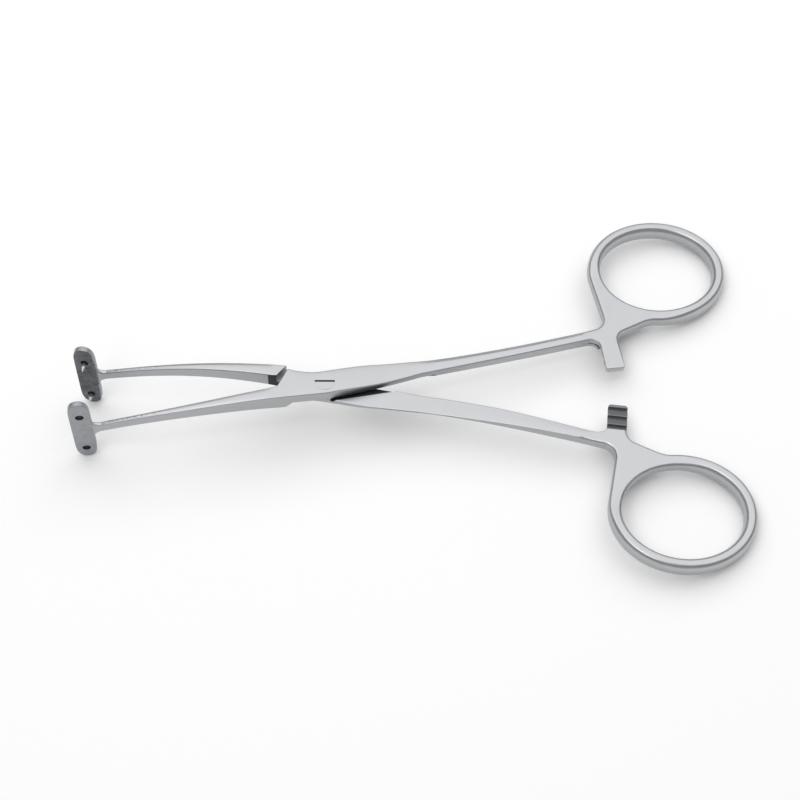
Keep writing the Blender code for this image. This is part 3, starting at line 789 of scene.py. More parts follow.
def cut_row_tree():
    """Takes a row of like grooves out of a body.

    Seen along a groove, its mouth runs from 0 to Mouth, and its root, Root wide, starts at Lean
    and lies Depth below. The grooves run along Z for Length, and follow each other along X.
    """
    tree = bpy.data.node_groups.get("row_of_grooves")
    if tree:
        return tree
    tree = bpy.data.node_groups.new("row_of_grooves", "GeometryNodeTree")
    inputs = (
        ("Body", "NodeSocketGeometry"),
        ("Grooves", "NodeSocketInt"),
        ("Pitch", "NodeSocketFloat"),
        ("Mouth", "NodeSocketFloat"),
        ("Lean", "NodeSocketFloat"),
        ("Root", "NodeSocketFloat"),
        ("Depth", "NodeSocketFloat"),
        ("Length", "NodeSocketFloat"),
        ("Place", "NodeSocketVector"),
        ("Turn", "NodeSocketRotation"),
        ("Finish", "NodeSocketMaterial"),
        ("Groove Finish", "NodeSocketMaterial"),
    )
    for name, kind in inputs:
        tree.interface.new_socket(name, in_out="INPUT", socket_type=kind)
    tree.interface.new_socket("Body", in_out="OUTPUT", socket_type="NodeSocketGeometry")
    nodes, links = tree.nodes, tree.links
    given = nodes.new("NodeGroupInput").outputs
    result = nodes.new("NodeGroupOutput")

    def node(kind, settings=(), **sockets):
        made = nodes.new(kind)
        for setting, value in settings:
            setattr(made, setting, value)
        for name, value in sockets.items():
            socket = made.inputs[name.replace("_", " ")]
            if isinstance(value, bpy.types.NodeSocket):
                links.new(value, socket)
            else:
                socket.default_value = value
        return made

    def total(*values):
        """The sum of two numbers."""
        made = nodes.new("ShaderNodeMath")
        made.operation = "ADD"
        for socket, value in zip(made.inputs, values):
            links.new(value, socket)
        return made.outputs[0]

    def product(value, factor):
        made = nodes.new("ShaderNodeMath")
        made.operation = "MULTIPLY"
        links.new(value, made.inputs[0])
        if isinstance(factor, bpy.types.NodeSocket):
            links.new(factor, made.inputs[1])
        else:
            made.inputs[1].default_value = factor
        return made.outputs[0]

    over = product(given["Depth"], 1.0)
    below = product(given["Depth"], -1.0)
    # The flanks go on above the surface with the same lean, so the mouth is as wide as given.
    left = product(given["Lean"], -1.0)
    right = total(given["Mouth"], product(total(total(given["Mouth"], left), product(given["Root"], -1.0)), 1.0))
    corners = (
        node("ShaderNodeCombineXYZ", X=left, Y=over),
        node("ShaderNodeCombineXYZ", X=right, Y=over),
        node("ShaderNodeCombineXYZ", X=total(given["Lean"], given["Root"]), Y=below),
        node("ShaderNodeCombineXYZ", X=given["Lean"], Y=below),
    )
    outline = node("GeometryNodeCurvePrimitiveQuadrilateral", [("mode", "POINTS")])
    for i, corner in enumerate(corners, 1):
        links.new(corner.outputs[0], outline.inputs[f"Point {i}"])
    face = node("GeometryNodeFillCurve", Curve=outline.outputs[0])
    run = node("ShaderNodeCombineXYZ", Z=given["Length"])
    sides = node("GeometryNodeExtrudeMesh", Mesh=face.outputs[0], Offset=run.outputs[0])
    sides.inputs["Individual"].default_value = False
    base = node("GeometryNodeFlipFaces", Mesh=face.outputs[0])
    both = node("GeometryNodeJoinGeometry")
    links.new(sides.outputs[0], both.inputs[0])
    links.new(base.outputs[0], both.inputs[0])
    groove = node("GeometryNodeMergeByDistance", Geometry=both.outputs[0], Distance=1e-7)
    step = node("ShaderNodeCombineXYZ", X=given["Pitch"])
    row = node("GeometryNodeMeshLine", Count=given["Grooves"], Offset=step.outputs[0])
    grooves = node("GeometryNodeInstanceOnPoints", Points=row.outputs[0], Instance=groove.outputs[0])
    real = node("GeometryNodeRealizeInstances", Geometry=grooves.outputs[0])
    dull = node("GeometryNodeSetMaterial", Geometry=real.outputs[0])
    links.new(given["Groove Finish"], dull.inputs["Material"])
    placed = node("GeometryNodeTransform", Geometry=dull.outputs[0])
    links.new(given["Place"], placed.inputs["Translation"])
    links.new(given["Turn"], placed.inputs["Rotation"])
    carve = node("GeometryNodeMeshBoolean", [("operation", "DIFFERENCE")])
    carve.solver = "EXACT"
    links.new(given["Body"], carve.inputs[0])
    links.new(placed.outputs[0], carve.inputs[1])
    whole = node("GeometryNodeRealizeInstances", Geometry=carve.outputs[0])
    body = node("GeometryNodeMaterialSelection")
    links.new(given["Finish"], body.inputs["Material"])
    coated = node("GeometryNodeSetMaterial", Geometry=whole.outputs[0], Selection=body.outputs[0])
    links.new(given["Finish"], coated.inputs["Material"])
    links.new(coated.outputs[0], result.inputs[0])
    return tree


def cut_row(obj, name, **values):
    """Adds the row of grooves to a piece, with each value set by its socket's identifier."""
    modifier = obj.modifiers.new(name, "NODES")
    modifier.node_group = cut_row_tree()
    sockets = {
        item.name: item.identifier
        for item in modifier.node_group.interface.items_tree
        if item.in_out == "INPUT"
    }
    for socket, value in values.items():
        modifier[sockets[socket.replace("_", " ")]] = value


# Box lock


def cheek_plan(s):
    """Plan of the box's cheeks, as the inner half's shoulders clear them when closed."""
    gap = s.shoulder_gap
    near = [(x, box_inner(s, x) - gap) for x in np.linspace(1.0, s.box_rear, 24)]
    return [
        (-s.box_front - gap, arm_inner(s, -s.box_front) + 0.1),
        (-s.box_front - gap, -s.aside),
        (near[0][0], -s.aside),
        *near,
        (s.box_rear + gap, shank_inner(s, s.box_rear) + 0.4),
        (s.box_rear + gap, s.aside),
        (-s.cheek_corner - gap + 1.2, s.aside),
        (-s.cheek_corner - gap, s.cheek_half_width - 0.2),
    ]


def front_web(s, gap, swing=0.0):
    """Plan of the full height of the box half in front of the recess, grown by a gap."""
    edge = arm_inner(s, -s.box_front) + 0.08 + gap
    return [
        (-s.front_reach + gap + swing, -s.box_half_width + s.web_wall + gap),
        (-s.box_front + s.web_wall + gap, edge),
        (-s.box_front - 3, edge),
        (-s.box_front - 3, -s.aside),
        (-s.front_reach + gap + swing, -s.aside),
    ]


def rear_web(s, gap, lean=0.0):
    """Plan of the full height of the box half behind the recess, grown by a gap."""
    start, end = s.slot_rear + lean, s.web_end + lean
    edge = [(x, half_inner(s, x) - gap) for x in np.linspace(start, end, 4)]
    return [
        (s.web_reach - gap, s.waist_half_width - s.web_wall - gap),
        (start - gap, edge[0][1]),
        *edge[1:],
        (end + gap, edge[-1][1]),
        (end + gap, s.aside),
        (s.web_reach - gap, s.aside),
    ]


def recess_plan(s, lean, rear_lean):
    """Plan of the recess under the box half: all that lies between its two webs."""
    front, rear = front_web(s, 0, -lean), rear_web(s, 0, rear_lean)
    return [
        (-s.box_front - 2, front[1][1]),
        front[1],
        front[0],
        (front[0][0], -s.aside),
        (rear[1][0] + 0.5, -s.aside),
        (rear[1][0] + 0.5, rear[1][1] - 0.2),
        rear[1],
        rear[0],
        (rear[0][0], s.aside),
        (-s.box_front - 2, s.aside),
    ]


def recess_body(s, under):
    """The recess, whose two ends lean apart below."""
    lowest = -s.box_thickness / 2 - 0.3
    rows = []
    for z, part in ((-s.above, 1.0), (lowest, 1.0), (under, 0.0)):
        plan = recess_plan(s, part * s.recess_lean, part * s.rear_lean)
        rows.append([(x, y, z) for x, y in plan])
    return lofted(rows)


def pocket_plan(s):
    """Plan of the shallow pocket beside the box half, in the inner half's low rear."""
    return [
        (s.pocket_start, s.pocket_low),
        (s.pocket_end, s.pocket_high),
        (s.pocket_end, s.box_half_width),
        (s.pocket_start, s.box_half_width),
    ]


def ratchet_space(s, side, mirror):
    """The room of the other half's ratchet bar, above or below, as far as the teeth's crests."""
    crest = side * s.ratchet_clearance / 2
    beyond = crest - side * s.shank_end_thickness
    stop = shank_inner(s, s.shank_end) - s.ratchet_land
    profile = [(-s.ratchet_reach - 1, beyond), (-s.ratchet_reach - 1, crest)]
    profile += [(stop, crest), (stop, beyond)]
    ends = (s.ratchet_left - s.root_fillet - 1, s.ratchet_right + s.web_fillet)
    return lofted([[(x, mirror * y, z) for y, z in profile] for x in ends])


def cut_teeth(s, obj, side, mirror, material, groove_material):
    """The gaps between the ratchet's teeth, from the bar's tip to the plain land."""
    stop = shank_inner(s, s.shank_end) - s.ratchet_land
    start = stop - s.teeth * s.ratchet_pitch
    crest = side * s.ratchet_clearance / 2
    # A groove is drawn with X towards the shank and Y out of the bar, and runs along the bar's width.
    towards, out = Vector((0, mirror, 0)), Vector((0, 0, -side))
    run = towards.cross(out)
    turn = Matrix((towards, out, run)).transposed()
    reach = s.ratchet_width + s.root_fillet + s.web_fillet
    middle = Vector((s.ratchet_x, mirror * start, crest)) * MM
    cut_row(
        obj,
        "ratchet_teeth",
        Grooves=s.teeth,
        Pitch=s.ratchet_pitch * MM,
        Mouth=(1 - s.crest_share) * s.ratchet_pitch * MM,
        Lean=s.tooth_lean * MM,
        Root=s.tooth_root * MM,
        Depth=s.tooth_depth * MM,
        Length=reach * MM,
        Place=middle - run * (reach / 2 * MM),
        Turn=turn.to_euler(),
        Finish=material,
        Groove_Finish=groove_material,
    )


# Jaw plates


def plate_outline(s, shrink, steps=128):
    """The plate's outline in X and Z about its own middle: slightly bulged sides, full round ends."""
    half_width, half_height = s.plate_width / 2 - shrink, s.plate_height / 2 - shrink
    points = []
    for step in range(steps):
        place = 2 * math.pi * step / steps
        rise = math.copysign(abs(math.sin(place)) ** (2 / s.plate_fullness), math.sin(place))
        points.append((half_width * math.cos(place), half_height * rise))
    return points


def plate_body(s, side):
    layers = []
    for step in range(ARC_STEPS + 1):
        turn = math.radians(90 * step / ARC_STEPS)
        layers.append((s.plate_edge * (1 - math.sin(turn)), s.plate_edge * (1 - math.cos(turn))))
    rows = [(s.plate_inner + deep, shrink) for shrink, deep in layers]
    rows += [(s.plate_outer - deep, shrink) for shrink, deep in reversed(layers)]
    flat = np.arange(s.plate_edge + s.facet / 2, s.plate_width / 2 - 2 * s.facet, s.facet)
    rows = [(s.plate_inner, shrink) for shrink in reversed(flat)] + rows
    rows += [(s.plate_outer, shrink) for shrink in flat]
    return lofted([
        [(x - s.plate_distance, side * y, s.plate_level + z) for x, z in plate_outline(s, shrink)]
        for y, shrink in rows
    ])


def stub_section(inner, outer, high, rounding, steps=5):
    """A rounded section of the stub in Y and Z."""
    corners = ((inner, high, 0), (outer, high, 90), (outer, -high, 180), (inner, -high, 270))
    points = []
    for y, z, start in corners:
        centre_y = y + rounding * (1 if y == outer else -1)
        centre_z = z - math.copysign(rounding, z)
        for step in range(steps + 1):
            turn = math.radians(start + 90 * step / steps)
            points.append((centre_y + rounding * math.cos(turn), centre_z + rounding * math.sin(turn)))
    return points


def stub_body(s, mirror, steps=24):
    """The flared stub between plate and arm, which starts with the section of the arm's end."""
    rows = []
    inset = s.stub_inset
    for step in range(steps + 1):
        part = step / steps
        x = blend(-s.arm_end + s.arm_edge, -s.arm_end - s.stub_length - s.stub_overlap, part)
        high = half_thickness(s, -s.arm_end) - s.crown - inset + s.stub_flare * part**2.2
        inner = blend(arm_inner(s, -s.arm_end) - inset, -s.plate_inner - 0.3, part**0.8)
        outer = blend(arm_outer(s, -s.arm_end) + inset, -s.plate_outer + 0.15, part**0.8)
        section = stub_section(inner, outer, high, s.arm_edge)
        rows.append([(x, mirror * y, z - arm_drop(s, x)) for y, z in section])
    return lofted(rows)


def cut_serrations(s, obj, side, material):
    """V grooves at 45 degrees over the plate's inner face, between the two holes."""
    spacing = s.serration_pitch * math.sqrt(2)
    band = s.spike_spacing - s.spike_hole - 2 * s.serration_margin
    grooves = int(band / spacing)
    across = Vector((-1, 0, 1)).normalized()
    out = Vector((0, -side, 0))
    run = across.cross(out)
    turn = Matrix((across, out, run)).transposed()
    mouth = (1 - s.serration_crest) * s.serration_pitch
    reach = 3 * s.plate_width
    start = -((grooves - 1) * s.serration_pitch + mouth) / 2
    middle = Vector((-s.plate_distance, side * s.plate_inner, s.spike_level))
    cut_row(
        obj,
        "serrations",
        Grooves=grooves,
        Pitch=s.serration_pitch * MM,
        Mouth=mouth * MM,
        Lean=(mouth - s.serration_root) / 2 * MM,
        Root=s.serration_root * MM,
        Depth=s.serration_depth * MM,
        Length=reach * MM,
        Place=(middle + across * start - run * (reach / 2)) * MM,
        Turn=turn.to_euler(),
        Finish=material,
        Groove_Finish=material,
    )


def shaded_grasping_face(s, piece, towards):
    """Gives the face of a plate that looks towards the other plate its blasted finish, darker than the backs as
    painted shade.
    """
    plate_edge = -(s.plate_distance - s.plate_width / 2) * MM
    piece.data.materials.append(finish_named("blasted_steel"))
    last = len(piece.data.materials) - 1
    for face in piece.data.polygons:
        if face.normal.y * towards > 0.5 and face.center.x < plate_edge:
            face.material_index = last


def spike_places(s):
    return [(-s.plate_distance, s.spike_level + end * s.spike_spacing / 2) for end in (1, -1)]


def plate_in_the_making(s, name, mirror, material):
    """A plate with its inner face beside the middle line, and its stub."""
    plate = in_the_making(name, plate_body(s, -mirror), material)
    satin = finish_named("satin_steel")
    boolean(plate, name + "_stub", stub_body(s, mirror), "UNION", finish=satin)
    return plate


# Finishes


def shader_nodes(name, roughness, base):
    """A new metal, and what builds its nodes."""
    material = bpy.data.materials.new(name)
    material.use_nodes = True
    tree = material.node_tree
    shader = tree.nodes["Principled BSDF"]
    shader.inputs["Metallic"].default_value = 1.0
    shader.inputs["Roughness"].default_value = roughness
    shader.inputs["Base Color"].default_value = (*base, 1.0)
    material.diffuse_color = (*base, 1.0)
    return material, tree, shader


def texture(tree, kind, place, scale, detail=2.0, rough=0.5):
    """A noise or cell pattern on the piece's own coordinates."""
    node = tree.nodes.new(kind)
    node.inputs["Scale"].default_value = scale
    if "Detail" in node.inputs:
        node.inputs["Detail"].default_value = detail
        node.inputs["Roughness"].default_value = rough
    tree.links.new(place, node.inputs["Vector"])
    return node


def stretched(tree, place, scale):
    """The piece's coordinates, squeezed so that a pattern has a grain."""
    node = tree.nodes.new("ShaderNodeMapping")
    node.inputs["Scale"].default_value = scale
    tree.links.new(place, node.inputs["Vector"])
    return node.outputs[0]


def ranged(tree, value, from_low, from_high, to_low, to_high):
    node = tree.nodes.new("ShaderNodeMapRange")
    for socket, number_ in zip(node.inputs[1:5], (from_low, from_high, to_low, to_high)):
        socket.default_value = number_
    tree.links.new(value, node.inputs[0])
    return node.outputs[0]


def mixed(tree, first, second, part):
    """Two colours mixed, each a socket or a plain colour."""
    node = tree.nodes.new("ShaderNodeMix")
    node.data_type = "RGBA"
    colours = [socket for socket in node.inputs if socket.type == "RGBA"]
    for socket, value in zip(colours, (first, second)):
        if isinstance(value, bpy.types.NodeSocket):
            tree.links.new(value, socket)
        else:
            socket.default_value = (*value, 1.0)
    tree.links.new(part, node.inputs[0])
    return [socket for socket in node.outputs if socket.type == "RGBA"][0]


def summed(tree, first, second):
    node = tree.nodes.new("ShaderNodeMath")
    node.operation = "ADD"
    tree.links.new(first, node.inputs[0])
    tree.links.new(second, node.inputs[1])
    return node.outputs[0]


def shade(value, factor):
    return tuple(min(part * factor, 1.0) for part in value)


def bumped(tree, shader, height, distance, strength=1.0):
    node = tree.nodes.new("ShaderNodeBump")
    node.inputs["Distance"].default_value = distance
    node.inputs["Strength"].default_value = strength
    tree.links.new(height, node.inputs["Height"])
    tree.links.new(node.outputs[0], shader.inputs["Normal"])


def highlighted_edges(tree, clouds):
    """The marked edges, as a painted highlight of uneven strength."""
    mark = tree.nodes.new("ShaderNodeAttribute")
    mark.attribute_name = "rubbed"
    uneven = ranged(tree, clouds.outputs[0], 0.35, 0.65, 0.4, 1.0)
    node = tree.nodes.new("ShaderNodeMath")
    node.operation = "MULTIPLY"
    tree.links.new(mark.outputs["Fac"], node.inputs[0])
    tree.links.new(uneven, node.inputs[1])
    return node.outputs[0]


def steel(name, base, roughness, s, grain):
    """Worn satin steel: fine scratches along the piece, faint clouds, and a painted highlight on the rounded
    edges.
    """
    material, tree, shader = shader_nodes(name, roughness, base)
    links = tree.links
    place = tree.nodes.new("ShaderNodeTexCoord").outputs["Object"]
    long, wide = 1 / (s.grain_length * MM), 1 / (s.grain_width * MM)
    fine = texture(tree, "ShaderNodeTexNoise", stretched(tree, place, (long, wide, wide)), 1.0, 3.0)
    clouds = texture(tree, "ShaderNodeTexNoise", place, 140.0, 4.0, 0.6)
    specks = texture(tree, "ShaderNodeTexNoise", place, 2600.0, 1.0)
    rubbed = highlighted_edges(tree, clouds)
    toned = mixed(tree, shade(base, 0.95), shade(base, 1.04), clouds.outputs[0])
    scratched = mixed(tree, toned, shade(base, 1.12), ranged(tree, fine.outputs[0], 0.55, 0.8, 0.0, 0.5))
    # Painted highlight: the colour is brighter along the rounded edges.
    links.new(mixed(tree, scratched, shade(base, 1.2), rubbed), shader.inputs["Base Color"])
    cloudy = ranged(tree, clouds.outputs[0], 0.3, 0.7, roughness - 0.03, roughness + 0.04)
    streaky = ranged(tree, fine.outputs[0], 0.3, 0.7, -0.05, 0.05)
    worn = ranged(tree, rubbed, 0.0, 1.0, 0.0, -0.08)
    rough = summed(tree, summed(tree, cloudy, streaky), worn)
    links.new(rough, shader.inputs["Roughness"])
    height = summed(tree, fine.outputs[0], ranged(tree, specks.outputs[0], 0.0, 1.0, 0.0, 0.6))
    bumped(tree, shader, height, grain * MM)
    return material


def blasted_steel(name, base, s, contrast):
    """The jaw plates' finish: dull and dimpled, with painted shade in the grooves and a painted highlight on the
    rounded edges.
    """
    roughness = s.plate_roughness
    material, tree, shader = shader_nodes(name, roughness, base)
    links = tree.links
    place = tree.nodes.new("ShaderNodeTexCoord").outputs["Object"]
    dimples = texture(tree, "ShaderNodeTexNoise", place, 1 / (s.blast_size * 4 * MM), 3.0, 0.6)
    blotches = texture(tree, "ShaderNodeTexNoise", place, 620.0, 3.0, 0.6)
    edges = tree.nodes.new("ShaderNodeNewGeometry").outputs["Pointiness"]
    rubbed = highlighted_edges(tree, blotches)
    # Painted shade: the colour is darker where the surface is hollow, in the serrations' grooves and at the
    # holes.
    groove_shade = ranged(tree, edges, 0.48, 0.42, 0.0, 1.0)
    blotchy = ranged(tree, blotches.outputs[0], 0.3, 0.7, 0.0, 1.0)
    toned = mixed(tree, shade(base, 1 - contrast), shade(base, 1 + contrast), blotchy)
    shaded = mixed(tree, toned, shade(base, 0.45), groove_shade)
    # Painted highlight: the colour is much brighter along the rounded edges and crests.
    links.new(mixed(tree, shaded, shade(base, 1.9), rubbed), shader.inputs["Base Color"])
    links.new(
        ranged(tree, blotches.outputs[0], 0.3, 0.7, roughness - 0.08, roughness + 0.1),
        shader.inputs["Roughness"],
    )
    bumped(tree, shader, dimples.outputs[0], s.blast_depth * MM)
    return material


def finish_named(name):
    """The finish of that name, made when it is first asked for."""
    found = bpy.data.materials.get(name)
    if found and found.get("dressed"):
        return found
    s = all_sizes()
    if found:
        found.name = name + "_plain"
    if name == "satin_steel":
        made = steel(name, s.satin_colour, s.satin_roughness, s, s.grain_depth)
    elif name == "bright_pin_steel":
        made = steel(name, s.spike_colour, s.spike_roughness, s, s.grain_depth / 2)
    # Unpolished steel darkened as painted shade, for the ratchet teeth.
    elif name == "unpolished_steel":
        made = steel(name, s.unpolished_shade_colour, s.forged_roughness, s, s.grain_depth)
    # Painted shade for the lock's recesses, the holes and the slot.
    elif name == "blackened_steel":
        made = steel(name, s.painted_shade_colour, s.forged_roughness, s, s.grain_depth)
    # Blasted steel darkened as painted shade, for the grasping faces.
    elif name == "blasted_steel":
        made = blasted_steel(name, s.blasted_colour, s, s.blasted_contrast)
    else:
        made = blasted_steel(name, s.plate_colour, s, s.plate_contrast)
    made["dressed"] = True
    return made


# Operators


class FORCEPS_OT_box_half(bpy.types.Operator):
    """Forged half that lies on top in the lock, with its shank, finger ring and lower ratchet"""

    bl_idname = "forceps.box_half"
    bl_label = "Box Half"

    def execute(self, context):
        s = all_sizes()
        steel_finish = finish_named("satin_steel")
        unpolished_shaded, shaded = finish_named("unpolished_steel"), finish_named("blackened_steel")
        half = in_the_making("box_half_work", rounded_body(s, half_outline(s, half_inner), 1), steel_finish)
        under = s.lap_level + s.lap_gap / 2
        # The recess under the box half gets the painted shade.
        boolean(half, "lap_recess", recess_body(s, under), finish=shaded)
        seat, head = s.pin_diameter / 2 + s.pin_seat, s.head_diameter / 2 + s.pin_seat
        step = s.box_thickness / 2 - s.head_height - s.pin_seat
        profile = [(seat, -s.above), (seat, step), (head, step), (head, s.above)]
        boolean(half, "pin_seat", upright(profile))
        # The ratchet's cut faces and teeth get the darker unpolished steel, partly painted shade.
        boolean(half, "box_ratchet_space", ratchet_space(s, 1, 1), finish=unpolished_shaded)
        cut_teeth(s, half, 1, 1, steel_finish, unpolished_shaded)
        turn = math.radians(s.rest_opening / 2)
        piece = finished(half, "box_half_forging", "box_half", turn)
        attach(piece, "box_side")
        return {"FINISHED"}


class FORCEPS_OT_inner_half(bpy.types.Operator):
    """Forged half that lies underneath in the lock, with its shank, ring and upper ratchet"""

    bl_idname = "forceps.inner_half"
    bl_label = "Inner Half"

    def execute(self, context):
        s = all_sizes()
        steel_finish = finish_named("satin_steel")
        unpolished_shaded, shaded = finish_named("unpolished_steel"), finish_named("blackened_steel")
        half = in_the_making("inner_half_work", rounded_body(s, half_outline(s, blade_inner), -1, low_rear=True), steel_finish)
        over = s.lap_level - s.lap_gap / 4
        boolean(half, "lap_space", prism(cheek_plan(s), over, s.above), finish=steel_finish)
        front, rear = front_web(s, s.shoulder_gap, s.cheek_clearance), rear_web(s, s.shoulder_gap)
        # The web spaces and the pocket get the painted shade.
        boolean(half, "front_web_space", prism(front, -s.above, s.above), finish=shaded)
        boolean(half, "rear_web_space", prism(rear, -s.above, s.above), finish=shaded)
        boolean(half, "pocket", prism(pocket_plan(s), over - s.pocket_depth, 0), finish=shaded)
        bore = s.pin_diameter / 2 + s.running_clearance
        boolean(half, "pin_bore", upright([(bore, -s.above), (bore, s.above)]))
        # The ratchet's cut faces and teeth get the darker unpolished steel, partly painted shade.
        boolean(half, "inner_ratchet_space", ratchet_space(s, -1, -1), finish=unpolished_shaded)
        cut_teeth(s, half, -1, -1, steel_finish, unpolished_shaded)
        turn = math.radians(-s.rest_opening / 2)
        piece = finished(half, "inner_half_forging", "inner_half", turn)
        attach(piece, "inner_side")
        return {"FINISHED"}


class FORCEPS_OT_pivot_pin(bpy.types.Operator):
    """Flush pivot of the lock, with a slotted head"""

    bl_idname = "forceps.pivot_pin"
    bl_label = "Pivot Pin"

    def execute(self, context):
        s = all_sizes()
        radius, head, top = s.pin_diameter / 2, s.head_diameter / 2, s.box_thickness / 2
        profile = [(radius * part, -top) for part in (0.3, 0.6, 0.9)]
        profile += [(radius - s.pin_edge, -top), (radius, s.pin_edge - top)]
        profile += [(radius, top - s.head_height), (head, top - s.head_height)]
        profile += [(head, top - s.pin_edge), (head - s.pin_edge, top)]
        profile += [(head * part, top) for part in (0.97, 0.9, 0.6, 0.3)]
        pin = in_the_making("pivot_pin_work", upright(profile), finish_named("satin_steel"))
        side = s.slot_width / 2
        across = [(-head - 1, -side), (head + 1, -side), (head + 1, side), (-head - 1, side)]
        slot = prism(across, top - s.slot_depth, s.above)
        # The slot gets the painted shade.
        boolean(pin, "driver_slot", slot, finish=finish_named("blackened_steel"))
        piece = finished(pin, "flush_pivot_pin", "pivot_pin")
        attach(piece, "box_side")
        return {"FINISHED"}


class FORCEPS_OT_jaw_plates(bpy.types.Operator):
    """The two serrated jaw plates with their stubs, one drilled and one recessed"""

    bl_idname = "forceps.jaw_plates"
    bl_label = "Jaw Plates"

    def execute(self, context):
        s = all_sizes()
        finish, shaded = finish_named("matt_plate_steel"), finish_named("blackened_steel")
        half_turn = math.radians(s.rest_opening / 2)
        hole, edge = s.spike_hole / 2, s.hole_edge

        drilled = plate_in_the_making(s, "drilled_plate_work", 1, finish)
        inner, outer = -s.plate_inner, -s.plate_outer
        profile = [(hole + edge + 1, inner + 1), (hole, inner - edge), (hole, outer + edge)]
        profile += [(hole + edge + 1, outer - 1)]
        for i, place in enumerate(spike_places(s)):
            # The holes get the painted shade.
            boolean(drilled, f"hole_{i}", turned(profile, place), finish=shaded)
        cut_serrations(s, drilled, -1, finish)
        piece = finished(drilled, "drilled_plate", "drilled_jaw_plate", half_turn)
        shaded_grasping_face(s, piece, 1)
        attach(piece, "box_side")

        spiked = plate_in_the_making(s, "spiked_plate_work", -1, finish)
        floor = s.plate_inner + s.spike_recess
        profile = [(hole, floor), (hole, s.plate_inner + edge), (hole + edge + 1, s.plate_inner - 1)]
        for i, place in enumerate(spike_places(s)):
            # The recesses round the spikes get the painted shade.
            boolean(spiked, f"recess_{i}", turned(profile, place), finish=shaded)
        cut_serrations(s, spiked, 1, finish)
        piece = finished(spiked, "spiked_plate", "spiked_jaw_plate", -half_turn)
        shaded_grasping_face(s, piece, -1)
        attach(piece, "inner_side")
        return {"FINISHED"}


class FORCEPS_OT_spikes(bpy.types.Operator):
    """The two spikes pressed into the inner half's plate"""

    bl_idname = "forceps.spikes"
    bl_label = "Spikes"

    def execute(self, context):
        s = all_sizes()
        finish = finish_named("bright_pin_steel")
        radius, tip = s.spike_diameter / 2, s.plate_inner - s.spike_reach
        profile = [(radius, s.plate_outer - 0.1), (radius, tip + s.spike_point)]
        for step in range(1, 13):
            part = step / 12
            wide = blend(radius, s.spike_tip / 2, part**1.4)
            profile.append((wide, tip + s.spike_point * (1 - part)))
        for place, end in zip(spike_places(s), ("upper", "lower")):
            spike = in_the_making(end + "_spike_work", turned(profile, place), finish)
            turn = math.radians(-s.rest_opening / 2)
            piece = finished(spike, end + "_point", end + "_spike", turn)
            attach(piece, "inner_side")
        return {"FINISHED"}


class FORCEPS_OT_stage(bpy.types.Operator):
    """Pale floor, soft studio lights and the camera"""

    bl_idname = "forceps.stage"
    bl_label = "Stage"

    def execute(self, context):
        s = all_sizes()
        make_floor(s)
        make_lights(s)
        make_camera(s)
        return {"FINISHED"}


def make_floor(s):
    """A flat floor that the plates' lower ends and the finger rings rest on."""
    reach = s.floor_reach * MM
    slope = math.tan(math.radians(s.rest_slope))
    body = new_body()
    corners = []
    for x, y in ((-reach, -reach), (reach / 3, -reach), (reach / 3, reach), (-reach, reach)):
        corners.append(body.verts.new((x, y, s.rest_height * MM + slope * x)))
    body.faces.new(corners)
    mesh = bpy.data.meshes.new("floor")
    body.to_mesh(mesh)
    body.free()
    floor = bpy.data.objects.new("floor", mesh)
    bpy.context.scene.collection.objects.link(floor)
    material = bpy.data.materials.new("pale_floor")
    material.use_nodes = True
    shader = material.node_tree.nodes["Principled BSDF"]
    shader.inputs["Base Color"].default_value = (*s.floor_colour, 1.0)
    shader.inputs["Roughness"].default_value = 0.9
    shader.inputs["Specular IOR Level"].default_value = 0.1
    mesh.materials.append(material)


def softbox(name, place, aim, width, depth, power):
    """An area light that faces a point."""
    light = bpy.data.lights.new(name, "AREA")
    light.shape = "RECTANGLE"
    light.size, light.size_y = width, depth
    light.energy = power
    obj = bpy.data.objects.new(name, light)
    bpy.context.scene.collection.objects.link(obj)
    obj.location = place
    obj.rotation_mode = "QUATERNION"
    obj.rotation_quaternion = (Vector(aim) - Vector(place)).to_track_quat("-Z", "Y")


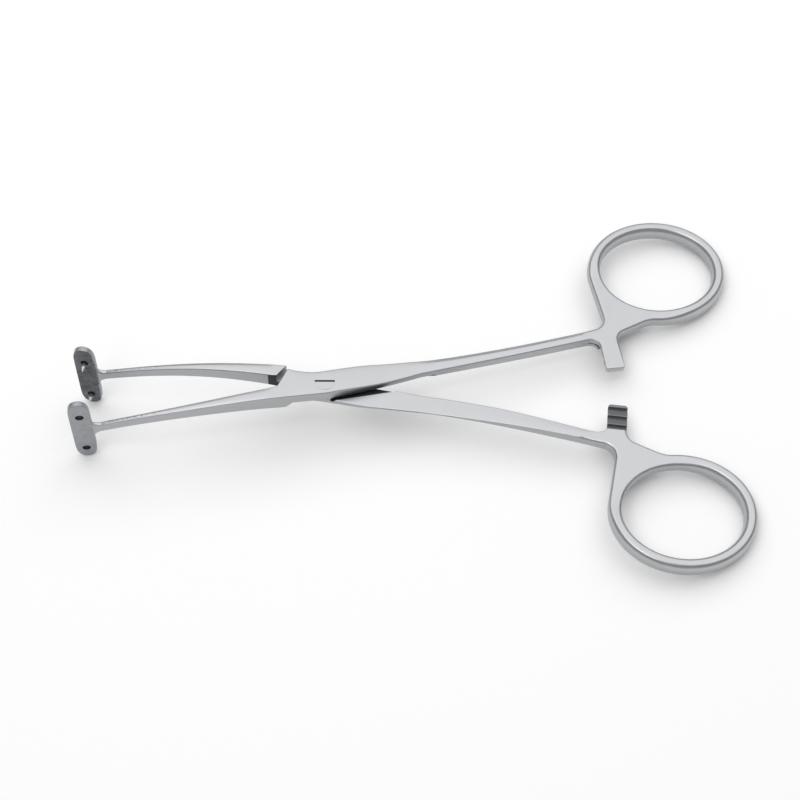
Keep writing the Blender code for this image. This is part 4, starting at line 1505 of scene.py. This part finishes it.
def make_lights(s):
    softbox("key_softbox", (0.0, 0.24, 0.62), (0.02, 0.0, 0.0), 1.2, 0.95, s.key_power)
    softbox("fill_softbox", (-0.25, -0.3, 0.7), (0.02, 0.0, 0.0), 0.4, 0.4, s.fill_power)
    world = bpy.data.worlds.new("studio")
    world.use_nodes = True
    nodes, links = world.node_tree.nodes, world.node_tree.links
    background = nodes["Background"]
    background.inputs["Color"].default_value = (1.0, 1.0, 1.0, 1.0)
    path = nodes.new("ShaderNodeLightPath")
    strength = nodes.new("ShaderNodeMapRange")
    strength.inputs["To Min"].default_value = s.room_light
    strength.inputs["To Max"].default_value = 1.0
    links.new(path.outputs["Is Camera Ray"], strength.inputs["Value"])
    links.new(strength.outputs[0], background.inputs["Strength"])
    bpy.context.scene.world = world
    bpy.context.scene.view_settings.view_transform = "Standard"


def make_camera(s):
    data = bpy.data.cameras.new("camera")
    data.lens = s.lens
    data.sensor_width = 36.0
    data.clip_start, data.clip_end = 0.01, 10.0
    camera = bpy.data.objects.new("camera", data)
    bpy.context.scene.collection.objects.link(camera)
    place, aim = Vector(s.camera_place), Vector(s.camera_aim)
    level = (aim - place).to_track_quat("-Z", "Y").to_matrix().to_4x4()
    roll = Matrix.Rotation(math.radians(s.camera_roll), 4, "Z")
    camera.matrix_world = Matrix.Translation(place) @ level @ roll
    bpy.context.scene.camera = camera


class FORCEPS_PT_panel(bpy.types.Panel):
    """Sizes, finishes and pieces of the forceps"""

    bl_idname = "FORCEPS_PT_panel"
    bl_label = "Flap Grasping Forceps"
    bl_space_type = "VIEW_3D"
    bl_region_type = "UI"
    bl_category = "Forceps"

    def draw(self, context):
        for pointer in GROUPS:
            group = getattr(context.scene, pointer)
            box = self.layout.box()
            box.label(text=type(group).__doc__ or pointer)
            for entry in group.bl_rna.properties:
                if entry.identifier not in ("rna_type", "name"):
                    box.prop(group, entry.identifier)
        for operator in OPERATORS:
            self.layout.operator(operator.bl_idname)


OPERATORS = (
    FORCEPS_OT_box_half,
    FORCEPS_OT_inner_half,
    FORCEPS_OT_pivot_pin,
    FORCEPS_OT_jaw_plates,
    FORCEPS_OT_spikes,
    FORCEPS_OT_stage,
)
CLASSES = (*GROUPS.values(), *OPERATORS, FORCEPS_PT_panel)


def register():
    for cls in CLASSES:
        bpy.utils.register_class(cls)
    for pointer, group in GROUPS.items():
        setattr(bpy.types.Scene, pointer, PointerProperty(type=group))


def unregister():
    for pointer in GROUPS:
        delattr(bpy.types.Scene, pointer)
    for cls in reversed(CLASSES):
        bpy.utils.unregister_class(cls)


def main():
    register()
    bpy.ops.forceps.box_half()
    bpy.ops.forceps.inner_half()
    bpy.ops.forceps.pivot_pin()
    bpy.ops.forceps.jaw_plates()
    bpy.ops.forceps.spikes()
    bpy.ops.forceps.stage()


if __name__ == "__main__":
    main()
